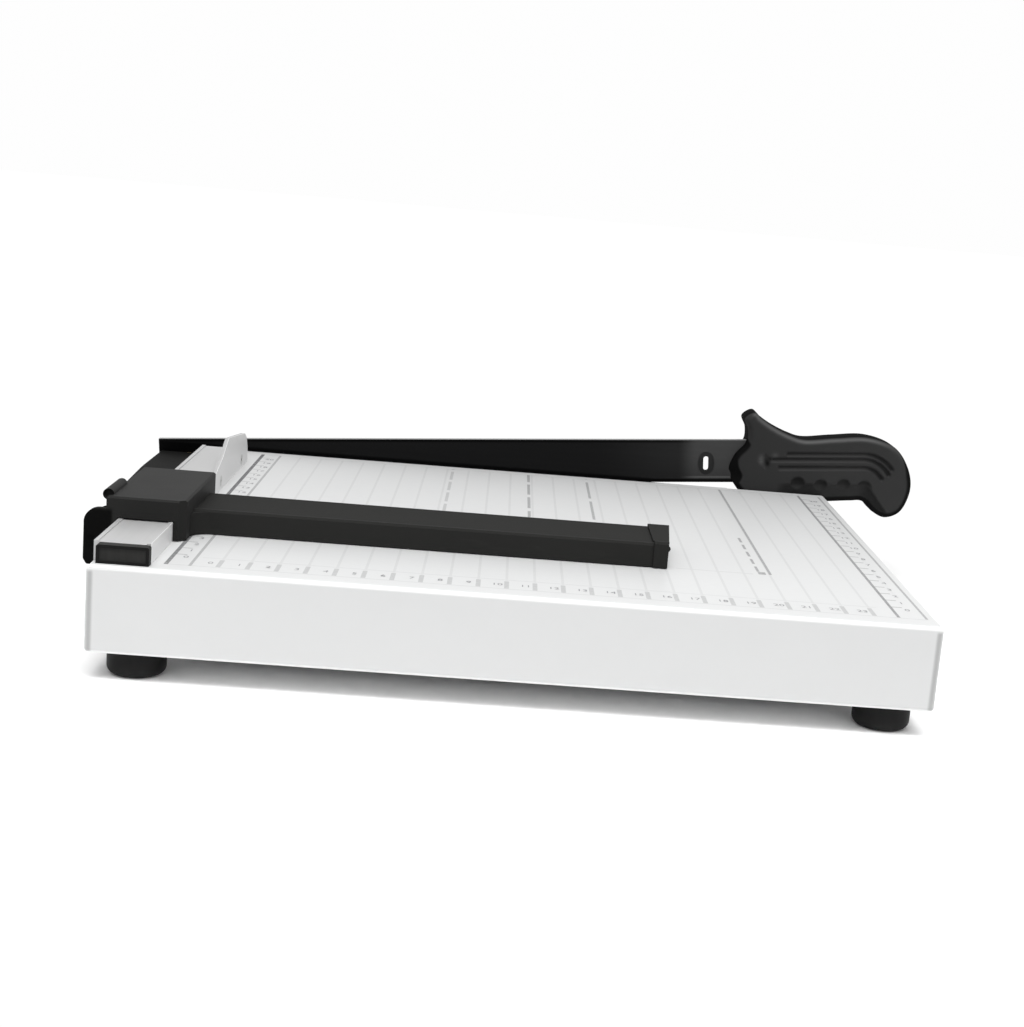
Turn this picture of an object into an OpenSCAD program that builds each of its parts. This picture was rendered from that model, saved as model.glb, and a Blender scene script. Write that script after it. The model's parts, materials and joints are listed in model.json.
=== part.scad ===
// Desk paper trimmer: a folded steel table with a fixed knife along its far edge, a lever blade that swings
// on a pivot housing at the far left, and a paper stop that slides on a guide rail and is held by a cam lever.
// Bench coordinates: X from the table's left wall, Y from its front wall, Z up from the desk.

/* [Table] */
// Length of the table, left to right
base_w = 300; // [285:1:340]
// Depth of the table, front to back
base_d = 243; // [240:1:290]
// Height of the folded skirt
base_h = 32; // [30:0.2:40]
// Thickness of the steel sheet
sheet_t = 1.2; // [0.8:0.1:1.6]
// Outside radius of the folds
bend_r = 2; // [1.8:0.1:4]
// Width of the lip folded in under the skirt
lip_w = 28; // [27:1:36]

/* [Feet] */
// Diameter of a rubber foot
foot_dia = 21; // [18:0.5:24]
// Height of a foot below the skirt
foot_h = 10.1; // [9:0.1:14]
// Distance of a foot's centre from the nearest side wall
foot_inset_x = 15.2; // [13:0.2:17]
// Distance of a foot's centre from the front or back wall
foot_inset_y = 15; // [13:0.2:17]
// Radius of the foot's lower edge
foot_edge_r = 3; // [1:0.5:4]
// Diameter of the screws in the feet
foot_screw_d = 4; // [3:0.5:5]

/* [Lower knife] */
// Thickness of the fixed knife
knife_t = 4; // [3:0.5:6]
// Height of the fixed knife
knife_h = 22; // [20:1:26]
// Depth of the knife's edge below the table's surface
knife_drop = 0.8; // [0.2:0.1:1.4]
// Number of screws that hold the knife
knife_screws_n = 5; // [3:1:7]
// Diameter of the knife's screws
knife_screw_d = 4; // [3:0.5:5]

/* [Blade] */
// Thickness of the blade bar
blade_t = 2.5; // [2:0.1:3.5]
// Height of the blade bar
blade_h = 21.2; // [19:0.2:24]
// Height of the bar's middle above the pivot axis
blade_off = 2.5; // [1.5:0.1:3.5]
// Length of the blade's tail behind the pivot
blade_tail = 14.1; // [13:0.1:20]
// Angle of the blade above closed, as it rests
rest_angle = 4.4; // [2:0.1:8]
// Height of the ground bevel on the cutting edge
bevel_h = 5; // [2:0.5:7]
// Width of the lock slot near the handle
slot_w = 2.6; // [2:0.2:4]
// Height of the lock slot
slot_h = 7; // [5:0.2:10]
// Distance from the lock slot to the handle
slot_gap = 13.6; // [11:0.1:20]
// Depth of the slot's centre below the bar's middle
slot_drop = 1.3; // [0:0.1:2]

/* [Pivot] */
// Distance of the pivot axis left of the table
pivot_out = 12; // [11:0.1:13]
// Depth of the pivot axis below the table's surface
pivot_drop = 10.1; // [9.9:0.1:11]
// Diameter of the pivot bolt
bolt_d = 6; // [5:0.5:7]
// Width of the pivot housing
housing_w = 27; // [25.5:0.5:27.5]
// How much narrower the housing is at its near end
housing_taper = 3.8; // [0.5:0.1:4]
// Length of the pivot housing along the table's side
housing_len = 90; // [70:1:110]
// Depth of the housing's top below the table's surface
housing_top = 3.6; // [2.6:0.1:4]
// Depth of the housing's underside below the table's surface
housing_drop = 24; // [23:0.5:28]
// Radius of the housing's upper outer edge
housing_r = 2; // [1:0.5:4]
// Number of disc springs on the pivot bolt
disc_springs_n = 4; // [2:1:5]

/* [Guide rail] */
// Distance of the rail from the table's left wall
rail_x = 1; // [0.8:0.1:3]
// Width of the rail
rail_w = 19.9; // [18:0.1:24]
// Height of the rail
rail_h = 7.3; // [6.5:0.1:9]
// Distance of the rail's near end from the front wall
rail_near = 6; // [5.5:0.5:12]
// Length of the rail
rail_len = 203; // [190:1:215]
// Thickness of the rail's skin
rail_skin = 1.6; // [1.2:0.1:2]
// Depth of the recess along the rail's top
rail_recess = 0.4; // [0.2:0.1:0.8]
// Thickness of the end cap in front of the rail
cap_t = 4; // [3:0.5:5]

/* [Fence] */
// Distance of the fence's near end from the rail's near end
fence_start = 125; // [120:1:140]
// Length of the fence plate
fence_len = 85; // [75:1:90]
// Thickness of the fence plate
fence_t = 1.6; // [1.2:0.1:2.2]
// Greatest height of the fence above the table
fence_h = 19.6; // [17:0.2:22]
// How far the fence's top edge falls towards the blade
fence_fall = 4.4; // [2:0.2:5]

/* [Paper stop] */
// Distance of the stop block from the front wall, as it rests
stop_y = 42; // [30:1:60]
// Depth of the stop block along the rail
stop_d = 61.5; // [58:0.5:70]
// Height of the stop block above the table
stop_h = 15.4; // [14.6:0.2:18]
// Thickness of the block's cheek left of the rail
cheek_t = 4.2; // [3.8:0.1:5.4]
// Thickness of the block's leg right of the rail
leg_t = 4.3; // [3.6:0.1:6]
// Chamfer on the block's edges
stop_chamfer = 0.7; // [0.4:0.1:1.6]
// Length of the stop arm from the block to its end cap
arm_len = 175; // [140:1:190]
// Width of the stop arm along the rail
arm_w = 36.4; // [34:0.2:40]
// Height of the stop arm above the table
arm_h = 8.6; // [8:0.1:10]
// Length of the arm's end cap
arm_cap_len = 5.6; // [4:0.2:10]
// How much further the end cap reaches at its far side
arm_cap_skew = 3.2; // [0.4:0.2:4]
// How far the end cap stands above the arm
arm_cap_lip = 0.9; // [0.4:0.1:1.5]
// Radius of the fillet between the arm and the block
gusset_r = 7; // [4:0.5:9]

/* [Lock lever] */
// Distance of the lever's pin left of the block
pin_out = 2.7; // [2.4:0.1:3.2]
// Height of the lever's pin above the table
pin_up = 5.3; // [5:0.1:5.8]
// Diameter of the lever's pin
pin_d = 3; // [2:0.1:3.2]
// Radius of the near lug, which covers the lever
lug_r = 5.4; // [5:0.1:5.8]
// Radius of the far lug and of the lever's hub
hub_r = 3.5; // [3.2:0.1:3.7]
// Thickness of each lug
lug_t = 2.6; // [2.4:0.1:3.6]
// Width of the lever between its lugs
lever_w = 8; // [6:0.5:10]
// Distance of the lever's outer face left of its pin
lever_out = 6.2; // [5.8:0.1:6.6]
// How far the lever hangs below the pin
lever_drop = 16.9; // [13:0.1:18]

/* [Handle] */
// How far the handle reaches back beside the table
handle_overlap = 45; // [40:1:50]
// Thickness of the handle in front of the blade
handle_front = 3.5; // [3.2:0.1:3.8]
// Thickness of the handle behind the blade
handle_back = 15; // [12:0.5:18]
// Radius of the handle's edges
handle_edge_r = 3.4; // [2.6:0.1:3.6]
// Depth of the grooves in the handle's face
groove_depth = 0.9; // [0.5:0.1:1.2]
// Width of the grooves in the handle's face
groove_w = 1.3; // [0.8:0.1:1.8]
// Distance between the grooves
groove_pitch = 3.5; // [2.8:0.1:4]
// Radius of the finger hollows
scallop_r = 6.5; // [5.5:0.1:7]
// Distance between the finger hollows
scallop_pitch = 10.7; // [10:0.1:11.5]
// Length of the blade's tang inside the handle
tang_len = 56; // [50:1:60]

/* [Hidden] */
$fn = 48;

// Clearances
screw_gap = 0.1;
run_gap = 0.15;
bore_gap = 0.05;
slide_gap = 0.3;
stop_clear = 0.4;
handle_gap = 0.6;
over = 1;

// Small fixed sizes of the pieces
washer_t = 1;
washer_r = 6.4;
head_washer_t = 1.2;
bolt_head_af = 10;
bolt_head_h = 4;
nut_h = 5;
disc_t = 0.8;
disc_rise = 0.5;
pocket_r = 6.2;
pocket_d = 16;
bush_wall = 2;
knife_end_gap = 3;
arm_back = 9.3;
thumb_r = 2.1;
thumb_from = 4;
thumb_len = 21;
thumb_out = 0.2;
thumb_sink = 0.1;
corner_cut = 2.8;

// Levels and places that several pieces share
table_z = foot_h + base_h;
blade_y = base_d + knife_t + run_gap;
pivot_z = table_z - pivot_drop;
housing_y1 = blade_y - run_gap - washer_t;
housing_y0 = housing_y1 - housing_len;
handle_u = base_w + pivot_out - handle_overlap;
handle_y0 = blade_y - handle_front;
handle_y1 = blade_y + blade_t + handle_back;
split_y = blade_y + blade_t / 2;
rail_right = rail_x + rail_w;
fence_y = rail_near + fence_start;
block_x0 = rail_x - slide_gap - cheek_t;
block_x1 = rail_right + slide_gap + leg_t;
block_w = block_x1 - block_x0;
pin_x = block_x0 - pin_out;
pin_z = table_z + pin_up;
lever_y = stop_y + lug_t + slide_gap;
lug_ys = [stop_y, lever_y + lever_w + slide_gap];
arm_y = stop_y + stop_d - arm_w - arm_back;
arm_x1 = block_x1 + arm_len;
knife_x0 = 3;
knife_len = base_w - handle_overlap - knife_x0 - knife_end_gap;

// Outline of the handle, seen from the front: along the blade from the handle's start, and up from the bar's middle
handle_points = [[9.6, 24.6], [4.8, 21.7], [5.4, 15.9], [3.9, 9.5], [0.7, 3.6], [-1.3, -3.5], [0.4, -9.5],
    [4.5, -16], [11, -19.5], [21.9, -20.1], [41.7, -20.2], [57.6, -19.7], [64.8, -20.5],
    [69.7, -25.2], [76.4, -28.2], [84.1, -24.7], [88.4, -13.8], [86.5, -2.7], [79.4, 7.2],
    [65.8, 12.1], [49.8, 11.7], [35.4, 10.5], [27.3, 12.8], [19.4, 17.3], [13.3, 21.5]];
handle_steps = 4;
groove_n = 3;
groove_top = 2.7;
groove_starts = [30, 22.5, 25.5];
groove_bend = [64.5, -14.2];
groove_sweep = 57;
scallop_n = 4;
scallop_at = [33.2, -17.6];
scallop_off = 3.4;
dimple_at = [16.1, -0.8];
dimple_r = 1.8;
handle_screw_at = [[14, 3.4], [40, -5.2], [76, -13.3]];
handle_screw_d = 3;

// Point t of a closed smooth curve between points 1 and 2 of four neighbours
function curve_point(p, t) =
    0.5 * (2 * p[1] + (p[2] - p[0]) * t + (2 * p[0] - 5 * p[1] + 4 * p[2] - p[3]) * t * t
    + (3 * p[1] - p[0] - 3 * p[2] + p[3]) * t * t * t);
function closed_curve(pts, steps) =
    [for (i = [0 : len(pts) - 1], s = [0 : steps - 1])
        curve_point([for (k = [-1 : 2]) pts[(i + k + len(pts)) % len(pts)]], s / steps)];
function arc(centre, r, from, to, n) =
    [for (i = [0 : n]) let (a = from + (to - from) * i / n) centre + r * [cos(a), sin(a)]];

handle_curve = closed_curve(handle_points, handle_steps);

// The origin is the middle of the part's box at rest, on the desk
blade_xs = [for (p = handle_curve) (handle_u + p[0]) * cos(rest_angle) - (blade_off + p[1]) * sin(rest_angle)];
part_x0 = -pivot_out - blade_tail * cos(rest_angle) - (blade_off + blade_h / 2) * sin(rest_angle);
part_x1 = -pivot_out + max(blade_xs);
origin = [(part_x0 + part_x1) / 2, handle_y1 / 2, 0];

module placed() {
    translate(-origin) children();
}

// Frame of the blade: origin on the pivot axis, X along the bar
module on_blade() {
    translate([-pivot_out, 0, pivot_z]) rotate([0, -rest_angle, 0]) children();
}

// A flat outline in X and Z, given a thickness along Y
module plate_xz(y, t) {
    translate([0, y + t, 0]) rotate([90, 0, 0]) linear_extrude(t) children();
}

// A flat outline in Y and Z, given a length along X
module plate_yz(x, t) {
    translate([x, 0, 0]) rotate([90, 0, 90]) linear_extrude(t) children();
}

module rounded(w, h, r) {
    translate([r, 0]) square([w - 2 * r, h]);
    translate([0, r]) square([w, h - 2 * r]);
    for (x = [r, w - r], y = [r, h - r]) translate([x, y]) circle(r);
}

module chamfered(w, h, c) {
    polygon([[0, 0], [w, 0], [w, h - c], [w - c, h], [c, h], [0, h - c]]);
}

module slot_outline(w, h) {
    square([w, h - w], center = true);
    for (s = [-1, 1]) translate([0, s * (h - w) / 2]) circle(d = w);
}

// A cylinder along Y from y
module rod_y(x, y, z, r, len) {
    translate([x, y + len, z]) rotate([90, 0, 0]) cylinder(r = r, h = len);
}

// A cylinder along X from x
module rod_x(x, y, z, r, len) {
    translate([x, y, z]) rotate([0, 90, 0]) cylinder(r = r, h = len);
}

// A countersunk screw: its head's face is at z = 0 and it points down
module flush_screw(d, len) {
    head_h = d * 0.55;
    difference() {
        union() {
            translate([0, 0, -len]) cylinder(d = d, h = len - head_h / 2);
            translate([0, 0, -head_h]) cylinder(d1 = d, d2 = d * 1.9, h = head_h);
        }
        translate([0, 0, -d * 0.3]) cylinder(d = d * 0.6, h = d, $fn = 6);
    }
}

// The hole for a countersunk screw
module flush_hole(d, len) {
    head_h = d * 0.55;
    translate([0, 0, -len - over]) cylinder(d = d + 2 * screw_gap, h = len + 2 * over);
    translate([0, 0, -head_h]) cylinder(d1 = d + 2 * screw_gap, d2 = d * 1.9 + 2 * screw_gap, h = head_h);
    cylinder(d = d * 1.9 + 2 * screw_gap, h = over);
}

// A pan screw: its head stands on z = 0 and it points down
module pan_screw(d, len) {
    head_h = d * 0.6;
    difference() {
        union() {
            translate([0, 0, -len]) cylinder(d = d, h = len);
            cylinder(d1 = d * 1.9, d2 = d * 1.6, h = head_h);
        }
        translate([0, 0, head_h * 0.5]) cylinder(d = d * 0.7, h = head_h, $fn = 6);
    }
}

module hex_nut(af, h, d) {
    difference() {
        cylinder(d = af / cos(30), h = h, $fn = 6);
        translate([0, 0, -over]) cylinder(d = d + 2 * screw_gap, h = h + 2 * over);
    }
}

foot_places = [for (y = [foot_inset_y, base_d - foot_inset_y], x = [foot_inset_x, base_w - foot_inset_x]) [x, y]];
knife_z = table_z - knife_drop;
knife_screw_z = knife_z - knife_h * 0.6;
knife_screw_margin = 18;
knife_screw_xs = [for (i = [0 : knife_screws_n - 1]) knife_x0 + knife_screw_margin
    + i * (knife_len - 2 * knife_screw_margin) / (knife_screws_n - 1)];
rail_mid = rail_x + rail_w * 0.38;
rail_screw_d = 4;
rail_screw_margin = 20;
rail_screw_ys = [for (i = [0 : 2]) rail_near + rail_screw_margin + i * (rail_len / 2 - rail_screw_margin)];
rail_screw_deep = 4.5;
housing_screw_d = 5;
housing_screw_deep = 10;
housing_screw_up = 5;
housing_screw_z = table_z - housing_drop + housing_screw_up;
housing_screw_ys = [for (k = [0.3, 0.56, 0.82]) housing_y0 + housing_len * k];

// The sheet folded to a shallow box; inset gives its inner side
module folded_box(inset) {
    w = base_w - 2 * inset;
    d = base_d - 2 * inset;
    h = base_h - 2 * inset;
    r = bend_r - inset;
    translate([inset, inset, foot_h + inset]) intersection() {
        plate_xz(0, d) rounded(w, h, r);
        plate_yz(0, w) rounded(d, h, r);
    }
}

module base_tray() {
    color("white") difference() {
        folded_box(0);
        folded_box(sheet_t);
        translate([lip_w, lip_w, foot_h - over])
            cube([base_w - 2 * lip_w, base_d - 2 * lip_w, sheet_t + 2 * over]);
        for (p = foot_places) translate([p[0], p[1], foot_h - over])
            cylinder(d = foot_screw_d + 2 * screw_gap, h = sheet_t + 2 * over);
        for (x = knife_screw_xs)
            rod_y(x, base_d - sheet_t - over, knife_screw_z, knife_screw_d / 2 + screw_gap, sheet_t + 2 * over);
        for (y = rail_screw_ys) translate([rail_mid, y, table_z - sheet_t - over])
            cylinder(d = rail_screw_d + 2 * screw_gap, h = sheet_t + 2 * over);
        for (y = housing_screw_ys)
            rod_x(-over, y, housing_screw_z, housing_screw_d / 2 + screw_gap, sheet_t + 2 * over);
    }
}

// Foot: a rubber button with a rounded lower edge and a well for its screw
foot_well_r = foot_screw_d * 1.1;
foot_well_d = foot_h * 0.45;

module foot(i) {
    p = foot_places[i];
    r = foot_dia / 2;
    color("#1c1c1c") translate([p[0], p[1], 0]) difference() {
        rotate_extrude() polygon(concat([[0, 0]],
            arc([r - foot_edge_r, foot_edge_r], foot_edge_r, -90, 0, 6),
            [[r, foot_h - over], [r - over / 2, foot_h], [0, foot_h]]));
        translate([0, 0, -over]) cylinder(r = foot_well_r, h = foot_well_d + over);
        translate([0, 0, -over]) cylinder(d = foot_screw_d + 2 * screw_gap, h = foot_h + 2 * over);
    }
}

module foot_front_left() foot(0);
module foot_front_right() foot(1);
module foot_rear_left() foot(2);
module foot_rear_right() foot(3);

foot_nut_h = foot_screw_d * 0.8;

module foot_screws() {
    len = foot_h - foot_well_d + sheet_t + foot_nut_h;
    color("silver") for (p = foot_places)
        translate([p[0], p[1], foot_well_d]) rotate([180, 0, 0]) pan_screw(foot_screw_d, len);
}

module foot_nuts() {
    color("silver") for (p = foot_places)
        translate([p[0], p[1], foot_h + sheet_t]) hex_nut(foot_screw_d * 1.75, foot_nut_h, foot_screw_d);
}

// Lower knife: a ground bar whose upper far edge cuts
knife_relief = 1;

module lower_knife() {
    color("#b9bcc0") difference() {
        plate_yz(knife_x0, knife_len) polygon([[base_d, knife_z - knife_h], [base_d + knife_t, knife_z - knife_h],
            [base_d + knife_t, knife_z], [base_d + knife_relief, knife_z], [base_d, knife_z - knife_relief / 2]]);
        for (x = knife_screw_xs) translate([x, base_d + knife_t, knife_screw_z])
            rotate([-90, 0, 0]) flush_hole(knife_screw_d, knife_t);
    }
}

knife_nut_h = knife_screw_d * 0.8;

module knife_screws() {
    color("silver") for (x = knife_screw_xs) translate([x, base_d + knife_t, knife_screw_z])
        rotate([-90, 0, 0]) flush_screw(knife_screw_d, knife_t + sheet_t + knife_nut_h);
}

module knife_nuts() {
    color("silver") for (x = knife_screw_xs) translate([x, base_d - sheet_t, knife_screw_z])
        rotate([90, 0, 0]) hex_nut(knife_screw_d * 1.75, knife_nut_h, knife_screw_d);
}

// Guide rail: a hollow light-metal section with a screw rib and a solid right wall that is rebated for the fence
rail_rib = 7;
rail_right_wall = 4.8;
rail_border = 1.6;
rail_y1 = rail_near + rail_len;

module rail_section() {
    difference() {
        square([rail_w, rail_h]);
        translate([rail_border, rail_h - rail_recess]) square([rail_w - 2 * rail_border, rail_recess + over]);
        rail_cells(0);
    }
}

// The two hollow cells of the section, drawn in by a gap for the plugs of the end cap
module rail_cells(gap) {
    rib_x = rail_mid - rail_x - rail_rib / 2;
    top = rail_h - rail_recess - rail_skin;
    translate([rail_skin + gap, rail_skin / 2 + gap])
        square([rib_x - rail_skin - 2 * gap, top - rail_skin / 2 - 2 * gap]);
    translate([rib_x + rail_rib + gap, rail_skin / 2 + gap])
        square([rail_w - rail_right_wall - rib_x - rail_rib - 2 * gap, top - rail_skin / 2 - 2 * gap]);
}

module guide_rail() {
    color("#c3c4c6") difference() {
        translate([rail_x, 0, table_z]) plate_xz(rail_near, rail_len) rail_section();
        translate([rail_right - fence_t - screw_gap, fence_y - screw_gap, table_z - over])
            cube([fence_t + screw_gap + over, rail_len, rail_h + 2 * over]);
        for (y = rail_screw_ys) translate([rail_mid, y, table_z - over])
            cylinder(d = rail_screw_d + 2 * screw_gap, h = rail_screw_deep + over + screw_gap);
        for (y = fence_screw_ys) rod_x(rail_right - fence_t - fence_screw_len, y, fence_screw_z,
            fence_screw_d / 2 + screw_gap, fence_screw_len + over);
    }
}

cap_plug = 5;
cap_low = 0.6;
cap_edge = 0.5;
cap_rim = 1.1;
cap_sunk = 0.5;

module rail_end_cap() {
    color("#232323") translate([rail_x, 0, table_z]) {
        translate([rail_skin, 0, 0]) difference() {
            plate_xz(rail_near - cap_t, cap_t) chamfered(rail_w - rail_skin, rail_h - cap_low, cap_edge);
            translate([cap_rim, 0, cap_rim]) plate_xz(rail_near - cap_t - over, cap_sunk + over)
                square([rail_w - rail_skin - 2 * cap_rim, rail_h - cap_low - 2 * cap_rim]);
        }
        plate_xz(rail_near - over / 2, cap_plug + over / 2) rail_cells(screw_gap);
    }
}

module rail_screws() {
    color("silver") for (y = rail_screw_ys) translate([rail_mid, y, table_z - sheet_t])
        rotate([180, 0, 0]) pan_screw(rail_screw_d, sheet_t + rail_screw_deep);
}

// Fence: a plate in the rail's rebate that rises towards the cutting line and rounds off before it
fence_screw_d = 2.5;
fence_screw_len = 2.6;
fence_screw_z = table_z + rail_h / 2;
fence_screw_ys = [fence_y + fence_len * 0.16, rail_y1 - fence_len * 0.12];
fence_nose_r = 14;
fence_crest_r = 5;
fence_crest = fence_y + fence_len * 0.36;

module rail_fence() {
    y1 = fence_y + fence_len;
    color("#bcbdbf") difference() {
        plate_yz(rail_right - fence_t, fence_t) translate([0, table_z]) polygon(concat(
            [[fence_y, 0], [fence_y, fence_h * 0.46], [fence_y + fence_len * 0.2, fence_h * 0.7]],
            arc([fence_crest, fence_h - fence_crest_r], fence_crest_r, 120, 86, 4),
            arc([y1 - fence_nose_r, fence_h - fence_fall - fence_nose_r], fence_nose_r, 84, 0, 9),
            [[y1, 0]]));
        for (y = fence_screw_ys) translate([rail_right, y, fence_screw_z])
            rotate([0, 90, 0]) flush_hole(fence_screw_d, fence_t);
    }
}

module fence_screws() {
    color("silver") for (y = fence_screw_ys) translate([rail_right, y, fence_screw_z])
        rotate([0, 90, 0]) flush_screw(fence_screw_d, fence_t + fence_screw_len - screw_gap);
}

// Pivot housing: a long block on the table's left wall, bored for the bolt, with a pocket for the disc springs
set_screw_d = 5;
set_screw_y = housing_y0 + housing_len * 0.6;
set_screw_sink = 0.5;
set_screw_x = housing_taper * (housing_y1 - set_screw_y) / housing_len - housing_w + set_screw_sink;
set_screw_len = -pivot_out - bolt_d / 2 - run_gap - set_screw_x;

module pivot_housing() {
    h = housing_drop - housing_top;
    color("#262626") difference() {
        intersection() {
            translate([-housing_w, 0, table_z - housing_drop]) plate_xz(housing_y0, housing_len) difference() {
                square([housing_w, h]);
                polygon([[-over, h - housing_r - over], [housing_r + over, h + over], [-over, h + over]]);
                polygon([[-over, -over], [housing_r, -over], [-over, housing_r]]);
            }
            linear_extrude(table_z) polygon([[housing_taper - housing_w, housing_y0], [0, housing_y0],
                [0, housing_y1], [-housing_w, housing_y1]]);
        }
        rod_y(-pivot_out, housing_y0 - over, pivot_z, bolt_d / 2 + bore_gap, housing_len + 2 * over);
        rod_y(-pivot_out, housing_y0 - over, pivot_z, pocket_r, pocket_d + over);
        for (y = housing_screw_ys)
            rod_x(-housing_screw_deep - over, y, housing_screw_z, housing_screw_d / 2 + screw_gap,
                housing_screw_deep + 2 * over);
        rod_x(-housing_w - over, set_screw_y, pivot_z, set_screw_d / 2 + screw_gap, housing_w - pivot_out + over);
    }
}

module housing_screws() {
    color("silver") for (y = housing_screw_ys) translate([sheet_t, y, housing_screw_z])
        rotate([0, 90, 0]) pan_screw(housing_screw_d, sheet_t + housing_screw_deep);
}

module set_screw() {
    color("#303030") translate([set_screw_x, set_screw_y, pivot_z]) rotate([0, 90, 0]) difference() {
        cylinder(d = set_screw_d, h = set_screw_len);
        translate([0, 0, -over]) cylinder(d = set_screw_d / 2, h = set_screw_len / 2 + over, $fn = 6);
    }
}

spring_y = housing_y0 + pocket_d;
spring_stack = disc_springs_n * (disc_t + disc_rise);
nut_y = spring_y - spring_stack - nut_h;
bolt_y0 = nut_y - disc_t * 2;
bolt_y1 = blade_y + blade_t + 2 * run_gap + head_washer_t;

module pivot_bolt() {
    color("#8d9094") {
        rod_y(-pivot_out, bolt_y0, pivot_z, bolt_d / 2, bolt_y1 - bolt_y0);
        translate([-pivot_out, bolt_y1, pivot_z]) rotate([-90, 0, 0])
            cylinder(d = bolt_head_af / cos(30), h = bolt_head_h, $fn = 6);
    }
}

module ring_y(y, r_in, r_out, t) {
    difference() {
        rod_y(-pivot_out, y, pivot_z, r_out, t);
        rod_y(-pivot_out, y - over, pivot_z, r_in, t + 2 * over);
    }
}

module thrust_washer() {
    color("#c9a24b") ring_y(housing_y1, bolt_d / 2 + bore_gap, washer_r, washer_t);
}

module head_washer() {
    color("silver") ring_y(blade_y + blade_t + run_gap, bolt_d / 2 + screw_gap, washer_r, head_washer_t);
}

// Each disc spring is a shallow cone, turned against the next
module disc_springs() {
    inner = bolt_d / 2 + screw_gap;
    outer = pocket_r - slide_gap;
    color("#9a9da1") for (i = [0 : disc_springs_n - 1]) {
        flip = i % 2;
        translate([-pivot_out, spring_y - (i + 0.5) * (disc_t + disc_rise), pivot_z]) rotate([90, 0, 0])
            mirror([0, 0, flip]) translate([0, 0, -(disc_t + disc_rise) / 2]) rotate_extrude()
                polygon([[inner, disc_rise], [outer, 0], [outer, disc_t], [inner, disc_t + disc_rise]]);
    }
}

module lock_nut() {
    color("silver") translate([-pivot_out, nut_y + nut_h, pivot_z]) rotate([90, 0, 0])
        hex_nut(bolt_head_af, nut_h, bolt_d);
}

// Blade: a flat bar with a ground bevel, a lock slot near the handle and a tang that the shells clamp
bush_r = bolt_d / 2 + bore_gap + bush_wall;
slot_u = handle_u - slot_gap;
slot_rim = 2.3;
slot_sink = 0.4;
tang_step = 12;
tang_low = -9.5;
tang_h = 16;

module blade() {
    color("#1f1f1f") on_blade() difference() {
        translate([0, 0, blade_off]) {
            plate_yz(-blade_tail, blade_tail + handle_u + tang_step)
                polygon([[blade_y, -blade_h / 2], [blade_y + blade_t, bevel_h - blade_h / 2],
                    [blade_y + blade_t, blade_h / 2], [blade_y, blade_h / 2]]);
            translate([handle_u, blade_y, tang_low]) cube([tang_len, blade_t, tang_h]);
        }
        rod_y(0, blade_y - over, 0, bush_r + screw_gap / 2, blade_t + 2 * over);
        translate([slot_u, 0, blade_off - slot_drop]) {
            plate_xz(blade_y - over, blade_t + 2 * over) slot_outline(slot_w, slot_h);
            plate_xz(blade_y - over, slot_sink + over)
                slot_outline(slot_w + 2 * slot_rim, slot_h + 2 * slot_rim);
        }
        for (p = handle_screw_at) if (p[0] < tang_len)
            rod_y(handle_u + p[0], blade_y - over, blade_off + p[1], handle_screw_d / 2 + screw_gap,
                blade_t + 2 * over);
    }
}

module pivot_bush() {
    color("#b5893c") difference() {
        rod_y(-pivot_out, blade_y, pivot_z, bush_r, blade_t);
        rod_y(-pivot_out, blade_y - over, pivot_z, bolt_d / 2 + bore_gap, blade_t + 2 * over);
    }
}

// Rounding tool for the handle's edges: a ball with its poles on the axis
ball_arc = 60;

module edge_ball(r) {
    rotate_extrude($fn = 16) polygon(concat([[0, -r]], arc([0, 0], r, -ball_arc, ball_arc, 4), [[0, r]]));
}

module handle_body() {
    translate([handle_u, 0, blade_off]) plate_xz_solid() minkowski() {
        linear_extrude(handle_y1 - handle_y0 - 2 * handle_edge_r)
            offset(delta = -handle_edge_r) polygon(handle_curve);
        edge_ball(handle_edge_r);
    }
}

// Turns a solid that was built upwards from the handle's back so that it faces the front
module plate_xz_solid() {
    translate([0, handle_y1 - handle_edge_r, 0]) rotate([90, 0, 0]) children();
}

// Space for the bar's end and its stepped tang
module tang_pocket() {
    g = screw_gap;
    translate([-handle_edge_r, blade_y - g, -blade_h / 2 - g])
        cube([handle_edge_r + tang_step + g, blade_t + 2 * g, blade_h + 2 * g]);
    translate([0, blade_y - g, tang_low - g]) cube([tang_len + g, blade_t + 2 * g, tang_h + 2 * g]);
}

module groove(i) {
    w = groove_top - i * groove_pitch;
    r = w - groove_bend[1];
    translate([groove_starts[i], w - groove_w / 2]) square([groove_bend[0] - groove_starts[i], groove_w]);
    translate(groove_bend) difference() {
        intersection() {
            circle(r + groove_w / 2);
            polygon([[0, 0], [0, 2 * r], [2 * r * sin(groove_sweep), 2 * r],
                [2 * r * sin(groove_sweep), 2 * r * cos(groove_sweep)]]);
        }
        circle(r - groove_w / 2);
    }
}

// Space that is cut away on the other side of the split
half = [base_w, base_d, base_d];

module handle_front_shell() {
    color("#2b2b2b") on_blade() difference() {
        handle_body();
        translate([handle_u, 0, blade_off]) {
            translate([-half[0] / 4, split_y, -half[2] / 2]) cube(half);
            tang_pocket();
            plate_xz(handle_y0 - over, groove_depth + over) for (i = [0 : groove_n - 1]) groove(i);
            for (i = [0 : scallop_n - 1])
                translate([scallop_at[0] + i * scallop_pitch, handle_y0 - scallop_off, scallop_at[1]])
                    sphere(scallop_r);
            rod_y(dimple_at[0], handle_y0 - over, dimple_at[1], dimple_r, groove_depth + over);
            for (p = handle_screw_at) rod_y(p[0], handle_y0 + handle_front / 2, p[1],
                handle_screw_d / 2 + screw_gap, handle_front);
        }
    }
}

handle_well = 6;
handle_screw_seat = handle_y1 - handle_well;

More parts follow.
